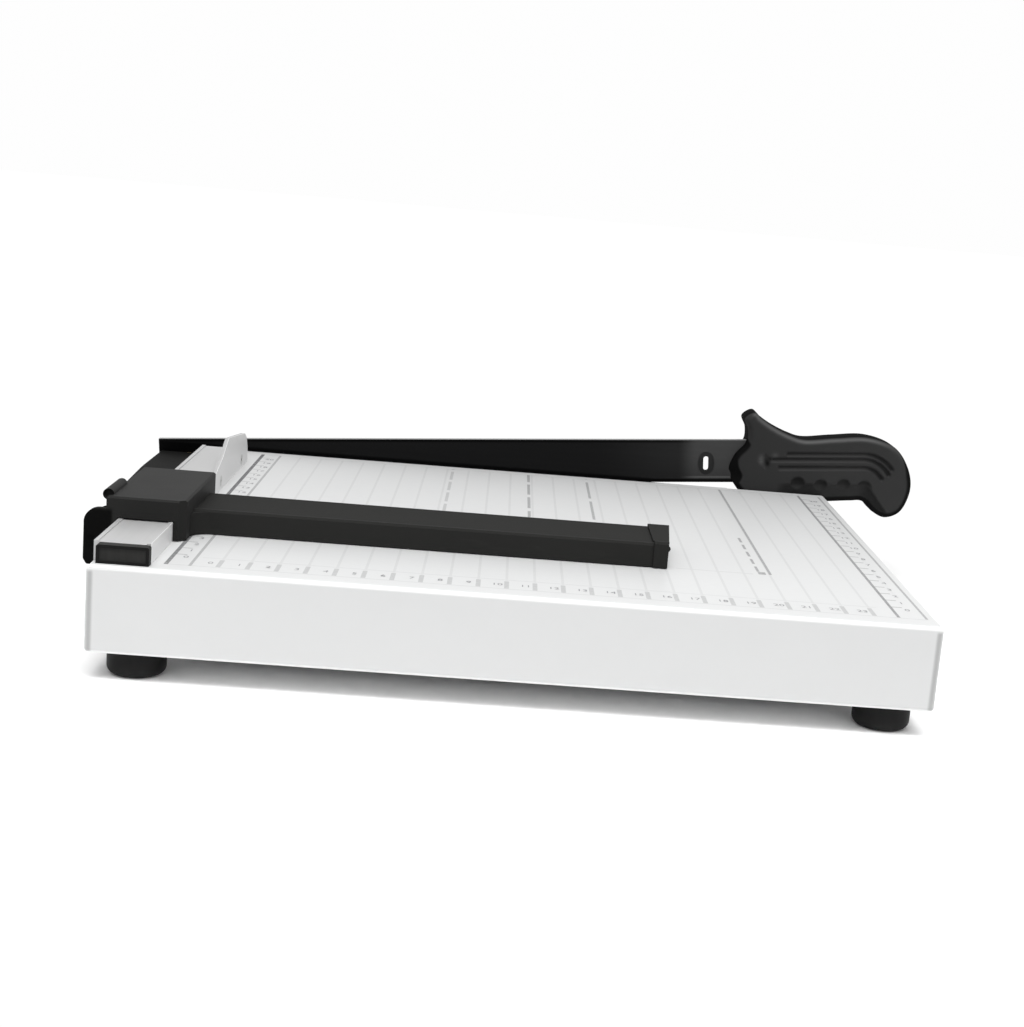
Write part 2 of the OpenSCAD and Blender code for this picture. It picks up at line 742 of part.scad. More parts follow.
module handle_back_shell() {
    color("#2b2b2b") on_blade() difference() {
        handle_body();
        translate([handle_u, 0, blade_off]) {
            translate([-half[0] / 4, split_y - half[1], -half[2] / 2]) cube(half);
            tang_pocket();
            for (p = handle_screw_at) {
                rod_y(p[0], blade_y, p[1], handle_screw_d / 2 + screw_gap, handle_back + 2 * over);
                rod_y(p[0], handle_screw_seat, p[1], handle_screw_d, handle_back);
            }
        }
    }
}

module handle_screws() {
    len = handle_screw_seat - handle_y0 - handle_front / 2 - screw_gap;
    color("silver") on_blade() for (p = handle_screw_at)
        translate([handle_u + p[0], handle_screw_seat, blade_off + p[1]]) rotate([-90, 0, 0])
            pan_screw(handle_screw_d, len);
}

// Stop block: a saddle over the rail with two lugs for the lever and a thumb rest on its left edge
module stop_block() {
    color("#2d2d2d") difference() {
        union() {
            translate([block_x0, stop_y, table_z + stop_clear]) intersection() {
                plate_xz(0, stop_d) chamfered(block_w, stop_h - stop_clear, stop_chamfer);
                plate_yz(0, block_w) chamfered(stop_d, stop_h - stop_clear, stop_chamfer);
                linear_extrude(stop_h) polygon([[0, 0], [block_w - corner_cut, 0], [block_w, corner_cut],
                    [block_w, stop_d], [0, stop_d]]);
            }
            plate_xz(lug_ys[0], lug_t) lug_outline(lug_r);
            plate_xz(lug_ys[1], lug_t) lug_outline(hub_r);
            translate([block_x0 - thumb_out, stop_y + thumb_from, table_z + stop_h - thumb_sink]) {
                rod_y(0, 0, 0, thumb_r, thumb_len);
                for (y = [0, thumb_len]) translate([0, y, 0]) sphere(thumb_r);
            }
        }
        translate([rail_x - slide_gap, stop_y - over, table_z - over])
            cube([rail_w + 2 * slide_gap, stop_d + 2 * over, rail_h + slide_gap + over]);
        translate([block_x0 - over, lever_y - slide_gap, table_z - over])
            cube([cheek_t + 2 * over, lever_w + 2 * slide_gap, pin_up + hub_r + slide_gap + over]);
        rod_y(pin_x, stop_y + pin_blind, pin_z, pin_d / 2 + bore_gap, stop_d);
        for (y = arm_screw_ys) translate([block_x1 - leg_t, y, arm_screw_z])
            rotate([0, -90, 0]) flush_hole(arm_screw_d, leg_t);
    }
}

pin_blind = lug_t * 0.4;

module lug_outline(r) {
    end = pin_out + over;
    translate([pin_x, pin_z]) polygon(concat(arc([0, 0], r, 90, 270, 16), [[end, -r], [end, r]]));
}

// Arm: a ribbed moulding that lies just clear of the table, with a filleted root and a capped end
arm_rise = arm_h - stop_clear;
arm_rib = [0.9, 2.6, 6, 0.8];
arm_wall = 2;
arm_screw_d = 3;
arm_screw_deep = 9;
arm_screw_z = table_z + stop_clear + arm_rise / 2;
arm_screw_ys = [arm_y + arm_w * 0.25, arm_y + arm_w * 0.75];
arm_root = 14;
arm_cells_n = 6;
arm_tip = 12;
arm_cell_pitch = (arm_len - arm_root - arm_tip) / arm_cells_n;
arm_plug = [8, 24, 4];

// Section of the arm with a low rib along its near edge
module arm_section(grow) {
    top = arm_rise + grow;
    far = arm_w + 2 * grow;
    crest = top + arm_rib[0];
    translate([-grow, 0]) polygon([[0, 0], [far, 0], [far, top], [arm_rib[2], top], [arm_rib[1], crest],
        [arm_rib[3], crest], [0, crest - arm_rib[3]]]);
}

module stop_arm() {
    color("#2d2d2d") difference() {
        translate([block_x1, arm_y, table_z + stop_clear]) {
            plate_yz(0, arm_len) arm_section(0);
            linear_extrude(arm_rise) difference() {
                translate([0, -gusset_r]) square([gusset_r, gusset_r + over]);
                translate([gusset_r, -gusset_r]) circle(gusset_r);
            }
        }
        for (i = [0 : arm_cells_n - 1])
            translate([block_x1 + arm_root + i * arm_cell_pitch, arm_y + arm_wall, table_z])
                cube([arm_cell_pitch - arm_wall, arm_w - 2 * arm_wall, stop_clear + arm_rise - arm_wall]);
        for (y = arm_screw_ys)
            rod_x(block_x1 - over, y, arm_screw_z, arm_screw_d / 2 + screw_gap, arm_screw_deep + over);
        translate([arm_x1 - arm_plug[0], arm_y + (arm_w - arm_plug[1]) / 2, arm_screw_z - arm_plug[2] / 2])
            cube(arm_plug + [over, 0, 0]);
    }
}

arm_nub_r = 1.2;

module arm_end_cap() {
    g = screw_gap;
    lip = arm_cap_lip;
    far_len = arm_cap_len + arm_cap_skew;
    color("#262626") {
        intersection() {
            translate([arm_x1, arm_y, table_z + stop_clear]) plate_yz(0, far_len) arm_section(lip);
            translate([arm_x1, arm_y, table_z]) linear_extrude(stop_h) polygon([[0, -lip], [arm_cap_len, -lip],
                [far_len, arm_w + lip], [0, arm_w + lip]]);
        }
        translate([arm_x1 - arm_plug[0], arm_y + (arm_w - arm_plug[1]) / 2, arm_screw_z - arm_plug[2] / 2] + [g, g, g])
            cube(arm_plug + [0, -2 * g, -2 * g]);
        translate([arm_x1 + arm_cap_len, arm_y + arm_w * 0.12, arm_screw_z + arm_nub_r * 2]) sphere(arm_nub_r);
    }
}

module arm_screws() {
    color("silver") for (y = arm_screw_ys) translate([block_x1 - leg_t, y, arm_screw_z])
        rotate([0, -90, 0]) flush_screw(arm_screw_d, leg_t + arm_screw_deep - screw_gap);
}

module lever_pin() {
    color("#a5a8ac") rod_y(pin_x, stop_y + pin_blind + screw_gap, pin_z, pin_d / 2,
        lug_ys[1] + lug_t - stop_y - pin_blind - 2 * screw_gap);
}

// Lever: a hub on the pin, a cam nose that faces the rail and a thick wedge that hangs down as the grip
cam_r = 2;
cam_drop = 1.8;
lever_toe = 2.1;

module lever_outline() {
    cam = [rail_x - slide_gap - cam_r - pin_x, -cam_drop];
    inner = pin_out - slide_gap;
    polygon(concat(
        [[0.6 * lever_toe - lever_out, -lever_drop], [-lever_out, lever_toe - lever_drop], [-lever_out, 0]],
        arc([0, 0], hub_r, 140, 30, 8),
        arc(cam, cam_r, 90, -90, 8),
        [[inner, -lug_r], [1.5 * lever_toe - lever_out, -lever_drop]]));
}

module lock_lever() {
    color("#1b1b1b") difference() {
        plate_xz(lever_y, lever_w) translate([pin_x, pin_z]) lever_outline();
        rod_y(pin_x, lever_y - over, pin_z, pin_d / 2 + bore_gap, lever_w + 2 * over);
    }
}

placed() base_tray();
placed() lower_knife();
placed() knife_screws();
placed() knife_nuts();
placed() foot_front_left();
placed() foot_front_right();
placed() foot_rear_left();
placed() foot_rear_right();
placed() foot_screws();
placed() foot_nuts();
placed() guide_rail();
placed() rail_end_cap();
placed() rail_screws();
placed() rail_fence();
placed() fence_screws();
placed() pivot_housing();
placed() housing_screws();
placed() pivot_bolt();
placed() thrust_washer();
placed() disc_springs();
placed() lock_nut();
placed() set_screw();
placed() blade();
placed() pivot_bush();
placed() head_washer();
placed() handle_front_shell();
placed() handle_back_shell();
placed() handle_screws();
placed() stop_block();
placed() stop_arm();
placed() arm_end_cap();
placed() arm_screws();
placed() lever_pin();
placed() lock_lever();
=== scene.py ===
"""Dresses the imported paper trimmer: enamel, print, mouldings, steel, studio and camera."""

import functools
import json
import math

import bmesh
import bpy
import numpy as np
from mathutils import Matrix, Vector
from mathutils.geometry import delaunay_2d_cdt


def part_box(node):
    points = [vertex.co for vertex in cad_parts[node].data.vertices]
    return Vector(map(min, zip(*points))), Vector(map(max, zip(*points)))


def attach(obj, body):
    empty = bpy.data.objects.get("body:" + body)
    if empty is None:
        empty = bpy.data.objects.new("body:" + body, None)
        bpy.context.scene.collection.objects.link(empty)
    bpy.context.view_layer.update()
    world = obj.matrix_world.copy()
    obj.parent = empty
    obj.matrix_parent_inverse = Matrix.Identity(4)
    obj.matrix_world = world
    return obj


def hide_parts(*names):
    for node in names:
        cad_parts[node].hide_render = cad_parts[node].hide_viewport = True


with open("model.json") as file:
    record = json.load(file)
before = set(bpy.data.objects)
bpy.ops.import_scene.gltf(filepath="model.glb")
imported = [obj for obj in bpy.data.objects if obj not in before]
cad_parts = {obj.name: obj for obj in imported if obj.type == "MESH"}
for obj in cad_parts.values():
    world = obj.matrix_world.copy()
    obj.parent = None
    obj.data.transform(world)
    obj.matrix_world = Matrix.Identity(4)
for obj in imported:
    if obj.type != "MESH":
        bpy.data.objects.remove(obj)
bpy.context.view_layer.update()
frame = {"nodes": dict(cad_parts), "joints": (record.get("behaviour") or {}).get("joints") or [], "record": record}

bl_info = {
    "name": "Paper Trimmer Dresser",
    "version": (1, 0, 0),
    "blender": (4, 5, 0),
    "location": "3D View > Sidebar > Trimmer",
    "description": "Builds the finishes and mouldings of a lever paper trimmer around its frame",
    "category": "Object",
}

MM = 0.001
TABLE_LOW, TABLE_HIGH = (np.array(corner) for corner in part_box("base_tray"))
TABLE_WIDTH, TABLE_DEPTH = (float(side) for side in (TABLE_HIGH - TABLE_LOW)[:2] / MM)
CORNER = np.array([TABLE_LOW[0], TABLE_LOW[1], TABLE_HIGH[2]])
BLADE_HINGE = next(j for j in frame["joints"] if j["name"] == "blade_swing")
PIVOT = np.array(BLADE_HINGE["pos_m"])
TILT = math.radians(-BLADE_HINGE["range_deg"][0])


def bench(x, y, z):
    """Point in metres from millimetres measured at the table's front left upper corner."""
    return CORNER + np.array([x, y, z]) * MM


def in_bench(point):
    """Millimetres from the table's front left upper corner of a point in metres."""
    return [float(v) for v in (np.array(point) - CORNER) / MM]


class Field:
    """A shader socket that Python's operators join to Math nodes."""

    def __init__(self, wiring, socket):
        self.wiring = wiring
        self.socket = socket

    def math(self, operation, *others):
        values = dict(enumerate((self, *others)))
        return self.wiring.add("Math", {"operation": operation}, values)

    def __add__(self, other):
        return self.math("ADD", other)

    def __sub__(self, other):
        return self.math("SUBTRACT", other)

    def __mul__(self, other):
        return self.math("MULTIPLY", other)

    def __rsub__(self, other):
        return (self * -1.0) + other

    def __abs__(self):
        return self.math("ABSOLUTE")

    def __gt__(self, other):
        return self.math("GREATER_THAN", other)

    def __lt__(self, other):
        return self.math("LESS_THAN", other)

    __radd__ = __add__
    __rmul__ = __mul__

    def cycle(self, pitch):
        """Remainder after whole steps of pitch, never negative."""
        return self.math("FLOORED_MODULO", pitch)

    def top(self, other):
        """The larger of two values."""
        return self.math("MAXIMUM", other)

    def square(self):
        return self.math("POWER", 2.0)

    def ease(self, low, high):
        """0 below low, 1 above high, a smooth rise between."""
        sockets = {"Value": self, "From Min": low, "From Max": high}
        return self.wiring.add("MapRange", {"interpolation_type": "SMOOTHSTEP"}, sockets)


class Wiring:
    """The nodes of a material or of the world, and the way to add and join them."""

    def __init__(self, tree):
        self.tree = tree

    def add(self, kind, settings=(), sockets=(), output=0):
        """One output of a new node, with its settings made first and then its sockets joined."""
        node = self.tree.nodes.new("ShaderNode" + kind)
        for key, value in dict(settings).items():
            setattr(node, key, value)
        for key, value in dict(sockets).items():
            self.join(value, node.inputs[key])
        return Field(self, node.outputs[output])

    def join(self, value, socket):
        """Link a field to a socket, or set the socket to a plain value."""
        if isinstance(value, Field):
            self.tree.links.new(value.socket, socket)
        else:
            socket.default_value = value


class Finish(Wiring):
    """A material: its shader, the piece's own coordinates, and the ways to feed the shader."""

    # A Mix node's sockets for colours, by number because their names are those for values too.
    COLOUR_SHARE, COLOUR_FIRST, COLOUR_SECOND, COLOUR_RESULT = 0, 6, 7, 2

    def __init__(self, name, **constants):
        self.material = bpy.data.materials.new(name)
        self.material.use_nodes = True
        super().__init__(self.material.node_tree)
        self.shader = self.tree.nodes["Principled BSDF"]
        self.feed(**constants)
        self.place = self.add("TexCoord", output="Object")

    def feed(self, **sockets):
        """Set or link the shader's sockets, written in small letters with underscores."""
        for key, value in sockets.items():
            self.join(value, self.shader.inputs[key.replace("_", " ").title().replace("Ior", "IOR")])

    def axes(self):
        """X, Y and Z of the piece in millimetres from the table's front left upper corner."""
        parts = [self.add("SeparateXYZ", (), {"Vector": self.place}, axis) for axis in "XYZ"]
        return [(part - float(start)) * (1 / MM) for part, start in zip(parts, CORNER)]

    def bar_axes(self):
        """Millimetres along the blade's bar from its pivot, and up across it."""
        x, _, z = self.axes()
        pivot_x, _, pivot_z = in_bench(PIVOT)
        x, z = x - pivot_x, z - pivot_z
        return x * math.cos(TILT) + z * math.sin(TILT), z * math.cos(TILT) - x * math.sin(TILT)

    def grain(self, scale, stretch=(1, 1, 1), detail=3.0):
        """Noise from 0 to 1 with about scale features a metre, drawn out along the axes by stretch."""
        sockets = {"Vector": self.place, "Scale": tuple(1 / s for s in stretch)}
        spread = self.add("Mapping", (), sockets)
        sockets = {"Vector": spread, "Scale": scale, "Detail": detail, "Roughness": 0.55}
        return self.add("TexNoise", (), sockets)

    def blend(self, share, first, second):
        """Colour that goes from first to second as share goes from 0 to 1."""
        sockets = {self.COLOUR_SHARE: share, self.COLOUR_FIRST: first, self.COLOUR_SECOND: second}
        return self.add("Mix", {"data_type": "RGBA"}, sockets, self.COLOUR_RESULT)

    def bump(self, height, distance, strength):
        """Normal of a surface raised by height times distance in metres."""
        sockets = {"Height": height, "Distance": distance, "Strength": strength}
        return self.add("Bump", (), sockets, "Normal")

    def veil(self, share, colour):
        """Mix in a dull shader without gloss where share rises to 1."""
        sockets = {"Base Color": colour, "Roughness": 0.9, "Specular IOR Level": 0.0}
        dull = self.add("BsdfPrincipled", (), sockets)
        gloss = Field(self, self.shader.outputs[0])
        mixed = self.add("MixShader", (), {0: share, 1: gloss, 2: dull})
        self.join(mixed, self.tree.nodes["Material Output"].inputs["Surface"])


def shade(colour, factor=1.0):
    """The colour times a factor, as a shader's colour."""
    return (*(min(1.0, c * factor) for c in colour[:3]), 1.0)


def grey(level):
    return (level, level, level, 1.0)


class TrimmerSizes(bpy.types.PropertyGroup):
    """Sizes of the pieces that this script shapes."""

    soft_edge: bpy.props.FloatProperty(
        name="Moulded edge", description="Radius on the edges of the moulded pieces", default=0.5 * MM,
        min=0.05 * MM, max=1.2 * MM, unit="LENGTH")
    sharp_edge: bpy.props.FloatProperty(
        name="Metal edge", description="Radius on the edges of the metal pieces", default=0.2 * MM,
        min=0.02 * MM, max=0.6 * MM, unit="LENGTH")
    groove_depth: bpy.props.FloatProperty(
        name="Groove depth", description="Depth of the grooves in the handle's face", default=1.1 * MM,
        min=0.2 * MM, max=1.5 * MM, unit="LENGTH")
    groove_width: bpy.props.FloatProperty(
        name="Groove width", description="Half width of the grooves in the handle's face", default=1.7 * MM,
        min=0.6 * MM, max=2.0 * MM, unit="LENGTH")
    number_size: bpy.props.FloatProperty(
        name="Number size", description="Height of the numbers printed along the scales", default=4.2 * MM,
        min=1 * MM, max=5 * MM, unit="LENGTH")


class TrimmerColours(bpy.types.PropertyGroup):
    """Colours of the finishes."""

    enamel: bpy.props.FloatVectorProperty(
        name="Enamel", description="White coat of the table", default=(0.6, 0.604, 0.604), subtype="COLOR",
        min=0, max=1)
    ink: bpy.props.FloatVectorProperty(
        name="Print", description="Ink of the lines on the table", default=(0.075, 0.075, 0.08), subtype="COLOR",
        min=0, max=1)
    moulding: bpy.props.FloatVectorProperty(
        name="Moulding", description="Black of the stop, the rail's plug and the pivot housing",
        default=(0.013, 0.013, 0.0125), subtype="COLOR", min=0, max=1)
    handle: bpy.props.FloatVectorProperty(
        name="Handle", description="Black plastic of the handle", default=(0.018, 0.018, 0.018), subtype="COLOR",
        min=0, max=1)
    paint: bpy.props.FloatVectorProperty(
        name="Paint", description="Black paint of the blade", default=(0.004, 0.004, 0.0042), subtype="COLOR",
        min=0, max=1)
    alloy: bpy.props.FloatVectorProperty(
        name="Alloy", description="Light metal of rail and fence", default=(0.47, 0.47, 0.47), subtype="COLOR",
        min=0, max=1)


class TrimmerStudio(bpy.types.PropertyGroup):
    """Light and camera."""

    sky: bpy.props.FloatProperty(
        name="Sky", description="Strength of the even light from all round", default=0.6, min=0, max=2)
    overhead: bpy.props.FloatProperty(
        name="Overhead", description="Strength of the broad light from above", default=1.5, min=0, max=10)
    front: bpy.props.FloatProperty(
        name="Front panel", description="Power of the panel in front", default=0.3, min=0, max=20, unit="POWER")
    spread: bpy.props.FloatProperty(
        name="Spread", description="Width of the broad light, as an angle", default=math.radians(50), min=0,
        max=math.pi, subtype="ANGLE")
    lens: bpy.props.FloatProperty(
        name="Lens", description="Focal length for a sensor 36 mm wide", default=59.268, min=10, max=300,
        unit="CAMERA")


PRINT_LEVEL, FOLD_RISE, HEM_RISE = -0.3, (-2.2, -0.8), (-30.2, -31.4)
SEAM_INSET, SEAM_SIDE, SEAM_FADE, SEAM_TOP = 1.3, 0.4, (1.5, 0.2), (-1.6, -3.0)


def enamel_finish(colours):
    """White coat with fine orange peel, painted highlights along the folds, dark corner seams softened into
    painted shade, and the printed cutting grid on top.
    """
    f = Finish("printed_table_enamel", specular_ior_level=0.3)
    x, y, z = f.axes()
    on_top = z > PRINT_LEVEL
    grid = print_mask(x, y) * on_top
    ends = abs(x - SEAM_INSET).math("MINIMUM", abs(x - (TABLE_WIDTH - SEAM_INSET)))
    walls = (y < SEAM_SIDE).top(y > TABLE_DEPTH - SEAM_SIDE)
    # Dark seam lines at the corners, softened on both sides into painted shade of the rounded corners.
    seam_and_corner_shade = ends.ease(*SEAM_FADE) * walls * z.ease(*SEAM_TOP)
    # Painted highlight: the top and bottom folds are lightened towards pale grey.
    fold_highlight = z.ease(*FOLD_RISE) * (1.0 - on_top) + z.ease(*HEM_RISE)
    soil = f.grain(38, detail=5.0).ease(0.35, 0.85)
    worn = f.grain(900, detail=2.0).ease(0.3, 0.62)
    base = f.blend(soil * 0.1, shade(colours.enamel), shade(colours.enamel, 0.9))
    printed = f.blend(grid * (worn * 0.25 + 0.75), base, shade(colours.ink))
    coat = f.blend(fold_highlight * 0.7, printed, grey(0.93))
    f.feed(base_color=f.blend(seam_and_corner_shade * 0.55, coat, grey(0.2)))
    f.feed(roughness=f.grain(420, detail=2.0) * 0.12 + 0.36 + grid * 0.1)
    f.feed(normal=f.bump(f.grain(620, detail=2.0), 0.03 * MM, 0.35))
    return f.material


# Lines along y: x, start, end, width, share of ink, and a dash's pitch and share where the line is broken.
UPRIGHT_LINES = [
    (25.5, 8, 130, 1.5, 0.85, None),
    (25.5, 130, 236, 1.6, 1.0, None),
    (33.8, 8, 236, 1.1, 0.5, None),
    (285.6, 9, 236, 1.2, 0.72, None),
    (295.8, 9, 236, 1.0, 0.55, None),
    (246.8, 61, 236, 1.1, 0.62, None),
    (242.5, 61, 130, 1.1, 0.62, (13, 0.66)),
    (181.6, 60, 236, 1.2, 0.55, (47, 0.85)),
    (153.5, 60, 236, 1.3, 0.58, (31, 0.8)),
    (117, 60, 236, 1.4, 0.34, (26, 0.8)),
]
# Lines along x: y, start, end, width and share of ink.
LEVEL_LINES = [
    (21.5, 36, 280, 1.2, 0.1),
    (8.4, 26, 296, 0.9, 0.14),
    (62.5, 242.1, 245.1, 4, 0.6),
    (60.5, 210, 240, 1.2, 0.14),
    (235.5, 26, 286, 1.0, 0.16),
]
TICK_PITCH, FIRST_COLUMN, FIRST_ROW = 10.15, 43.4, 24
# Centimetre marks of the near scale: half width, start and end along y, and share of ink.
COLUMN_TICKS = [(0.5, 20, 236, 0.12), (0.85, 9, 19.5, 0.34)]
# Centimetre marks of the side scales: half width, start and end along x, and share of ink.
ROW_TICKS = [(0.5, 26, 30, 0.4), (0.5, 286, 290, 0.5)]
COLUMN_FIELD, ROW_FIELD = (40, 280), (20, 236)


def line(axis, at, width):
    return abs(axis - at) < width / 2


def span(axis, low, high):
    return (axis > low) * (axis < high)


def dashes(axis, pitch, share):
    return axis.cycle(pitch) < pitch * share


def to_tick(axis, first):
    """Distance to the nearest tick of a centimetre scale."""
    return abs((axis - first + TICK_PITCH / 2).cycle(TICK_PITCH) - TICK_PITCH / 2)


def print_mask(x, y):
    """Share of ink at a point of the table: format lines, dashed lines, centimetre lines and scale ticks."""
    marks = []
    for at, start, end, width, tone, dash in UPRIGHT_LINES:
        mark = line(x, at, width) * span(y, start, end) * tone
        marks.append(mark * dashes(y, *dash) if dash else mark)
    for at, start, end, width, tone in LEVEL_LINES:
        marks.append(line(y, at, width) * span(x, start, end) * tone)
    column, row = to_tick(x, FIRST_COLUMN), to_tick(y, FIRST_ROW)
    for half, start, end, tone in COLUMN_TICKS:
        marks.append((column < half) * span(x, *COLUMN_FIELD) * span(y, start, end) * tone)
    for half, start, end, tone in ROW_TICKS:
        marks.append((row < half) * span(y, *ROW_FIELD) * span(x, start, end) * tone)
    return functools.reduce(Field.top, marks)


SPARK_DEPTH, SPARK_STRENGTH = 0.04 * MM, 0.5
EAR_LEFT, EAR_FRONT, EAR_TOP = (-0.6, -2.0), (62, 58), (11.5, 9.5)
PANEL_RISE = (0.25, 0.45)


def moulding(name, colour, gloss):
    """Black moulded plastic with a fine spark grain, slow tone changes and light scuffs."""
    f = Finish(name, specular_ior_level=gloss)
    cloud = f.grain(30, detail=4.0)
    spark = f.grain(2600, detail=2.0)
    scuff = f.grain(160, (6, 1, 1), detail=5.0).ease(0.6, 0.75)
    f.feed(base_color=f.blend(cloud * 0.5 + scuff * 0.3, shade(colour, 0.82), shade(colour, 1.3)))
    f.feed(roughness=cloud * 0.12 + scuff * 0.06 + 0.56)
    f.feed(normal=f.bump(spark, SPARK_DEPTH, SPARK_STRENGTH))
    return f


def block_finish(colours):
    """The stop's plastic, with painted shade as a dull dark veil on the ear where the lever is pinned."""
    f = moulding("grained_stop_plastic", colours.moulding, 0.12)
    x, y, z = f.axes()
    # Painted shade: the low near part of the ear, beside the table's edge, is veiled dark and dull.
    ear = x.ease(*EAR_LEFT) * y.ease(*EAR_FRONT) * z.ease(*EAR_TOP)
    f.veil(ear * 0.85, shade(colours.moulding, 0.2))
    return f.material


def cap_finish(colours):
    """Plug of the rail's end: a grey sunk panel with upright draw marks inside a rim darkened as painted shade."""
    f = Finish("grained_plug_plastic", specular_ior_level=0.1)
    front = in_bench(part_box("rail_end_cap")[0])[1]
    panel = (f.axes()[1] - front).ease(*PANEL_RISE)
    marks = f.grain(700, (1, 1, 12), detail=3.0)
    base = f.blend(marks, shade(colours.moulding, 1.1), shade(colours.moulding, 2.1))
    # Painted shade: the rim round the panel is darkened.
    f.feed(base_color=f.blend(panel, shade(colours.moulding, 0.5), base))
    f.feed(roughness=marks * 0.2 + 0.5)
    f.feed(normal=f.bump(f.grain(2600, detail=2.0), SPARK_DEPTH, SPARK_STRENGTH))
    return f.material


def handle_finish(colours):
    """Handle plastic: a spark-eroded grey face, painted highlights on the edges, and painted shade as a dull dark
    veil on the walls and hollows.
    """
    f = Finish("grained_handle_plastic", specular_ior_level=0.22)
    names = ("dark", "light")
    dark, light = (f.add("Attribute", {"attribute_name": name}, (), "Fac") for name in names)
    cloud = f.grain(34, detail=4.0)
    spark = f.grain(2400, detail=2.0)
    face = f.blend(cloud, shade(colours.handle, 0.85), shade(colours.handle, 1.2))
    # Painted highlight: lighter where the light attribute rises.
    f.feed(base_color=f.blend(light, face, shade(colours.handle, 4.5)))
    f.feed(roughness=cloud * 0.1 + light * -0.1 + 0.44)
    f.feed(normal=f.bump(spark, SPARK_DEPTH, SPARK_STRENGTH))
    # Painted shade: a dull dark veil where the dark attribute rises.
    f.veil(dark * 0.9, f.blend(cloud, shade(colours.handle, 0.12), shade(colours.handle, 0.3)))
    return f.material


DRAW_DEPTH, DRAW_STRENGTH = 0.02 * MM, 0.3
# The bar's own millimetres: along it from the pivot, and up across it. Pairs are where a tone starts and is full.
BAR_OFFSET, BAR_HEIGHT = 2.5, 21.2
SLOT_MIDDLE, SLOT_DISH, DISH_EDGE = (253.4, 1.2), (4.2, 5.8), (1.2, 0.7)
FAR_SHEEN, NEAR_SHEEN, GLINT_START, TOP_SHADE_END = (196, 243), (239, 249), (240, 250), (252, 236)
GLINT_HEIGHT, GLINT_EDGE, TABLE_SHADOW_LEVEL = 2.6, (0.7, 0.2), (1.6, 0.4)


def drawn_paint(f, colours):
    """Lengthwise draw marks of black paint on steel from 0 to 1, and the paint's colour."""
    draw = f.grain(420, (30, 1, 1), detail=4.0)
    f.feed(normal=f.bump(draw, DRAW_DEPTH, DRAW_STRENGTH))
    return draw, f.blend(draw, shade(colours.paint, 0.75), shade(colours.paint, 1.35))


def paint_finish(colours):
    """Satin black paint on steel, drawn lengthwise."""
    f = Finish("satin_black_paint", specular_ior_level=0.1)
    draw, base = drawn_paint(f, colours)
    f.feed(base_color=base, roughness=draw * 0.14 + 0.3)
    return f.material


def blade_finish(colours):
    """Black paint on the bar: grey painted sheen by the handle, painted shade in the slot's dish and at both
    edges, a painted shadow where it passes the table, and a painted highlight along the top.
    """
    f = Finish("satin_blade_paint", specular_ior_level=0.1)
    along, up = f.bar_axes()
    low, high = BAR_OFFSET - BAR_HEIGHT / 2, BAR_OFFSET + BAR_HEIGHT / 2
    draw, base = drawn_paint(f, colours)
    # Painted sheen: the paint turns grey towards the handle.
    by_handle = along.ease(*FAR_SHEEN) * 0.22 + along.ease(*NEAR_SHEEN) * 0.78
    painted_sheen = by_handle * (up.ease(low - 8, high - 4) * 0.6 + 0.4)
    base = f.blend(painted_sheen * (draw * 0.2 + 0.85), base, shade(colours.handle, 3.2))
    # Painted highlight along the top edge, with a faint painted glint line above the lower edge.
    glint = abs(up - (low + GLINT_HEIGHT)).ease(*GLINT_EDGE) * along.ease(*GLINT_START)
    top_edge_light = up.ease(high - 0.3, high - 0.1).top(glint * 0.2)
    f.feed(base_color=f.blend(top_edge_light, base, grey(0.28)), roughness=draw * 0.14 + 0.3 + painted_sheen * 0.2)
    # Painted shade: a dull dark veil in the slot's dish, under the top edge and along the lower edge.
    off_slot = [(axis - at) * (1 / reach) for axis, at, reach in zip((along, up), SLOT_MIDDLE, SLOT_DISH)]
    dish = (off_slot[0].square() + off_slot[1].square()).ease(*DISH_EDGE)
    under_top = up.ease(high - 2.0, high - 1.0) * up.ease(high - 0.2, high - 0.4) * along.ease(*TOP_SHADE_END)
    ground = up.ease(low + 2.0, low + 1.3)
    # Painted shadow where the bar passes behind the table's edge.
    table_shadow = f.axes()[2].ease(*TABLE_SHADOW_LEVEL)
    edges = (under_top * 0.7).top(ground * 0.9).top(table_shadow * 0.8)
    f.veil((dish * 0.5).top(edges), shade(colours.paint, 0.4))
    return f.material


def alloy_finish(name, colour):
    """Satin anodised light metal with die lines along the rail and a painted highlight on the right side."""
    f = Finish(name, metallic=0.3)
    x = f.axes()[0]
    right = in_bench(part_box("guide_rail")[1])[0]
    die = f.grain(2200, (1, 160, 1), detail=3.0)
    cloud = f.grain(60, (1, 5, 1), detail=4.0)
    base = f.blend(die * 0.6 + cloud * 0.4, shade(colour, 0.82), shade(colour, 1.18))
    # Painted highlight: the rail's right side is lightened.
    f.feed(base_color=f.blend(x.ease(right - 0.3, right - 0.1), base, shade(colour, 1.7)))
    f.feed(roughness=die * 0.16 + cloud * 0.1 + 0.34)
    f.feed(normal=f.bump(die, 0.01 * MM, 0.35))
    return f.material


def metal_finish(name, colour, stretch, rough):
    """Bare or plated metal with fine drawn lines and clouded tone."""
    f = Finish(name, metallic=1.0)
    lines = f.grain(1400, stretch, detail=3.0)
    cloud = f.grain(120, detail=4.0)
    f.feed(base_color=f.blend(lines * 0.5 + cloud * 0.5, shade(colour, 0.75), shade(colour, 1.2)))
    f.feed(roughness=lines * 0.14 + cloud * 0.12 + (rough - 0.12))
    f.feed(normal=f.bump(lines, 0.01 * MM, 0.3))
    return f.material


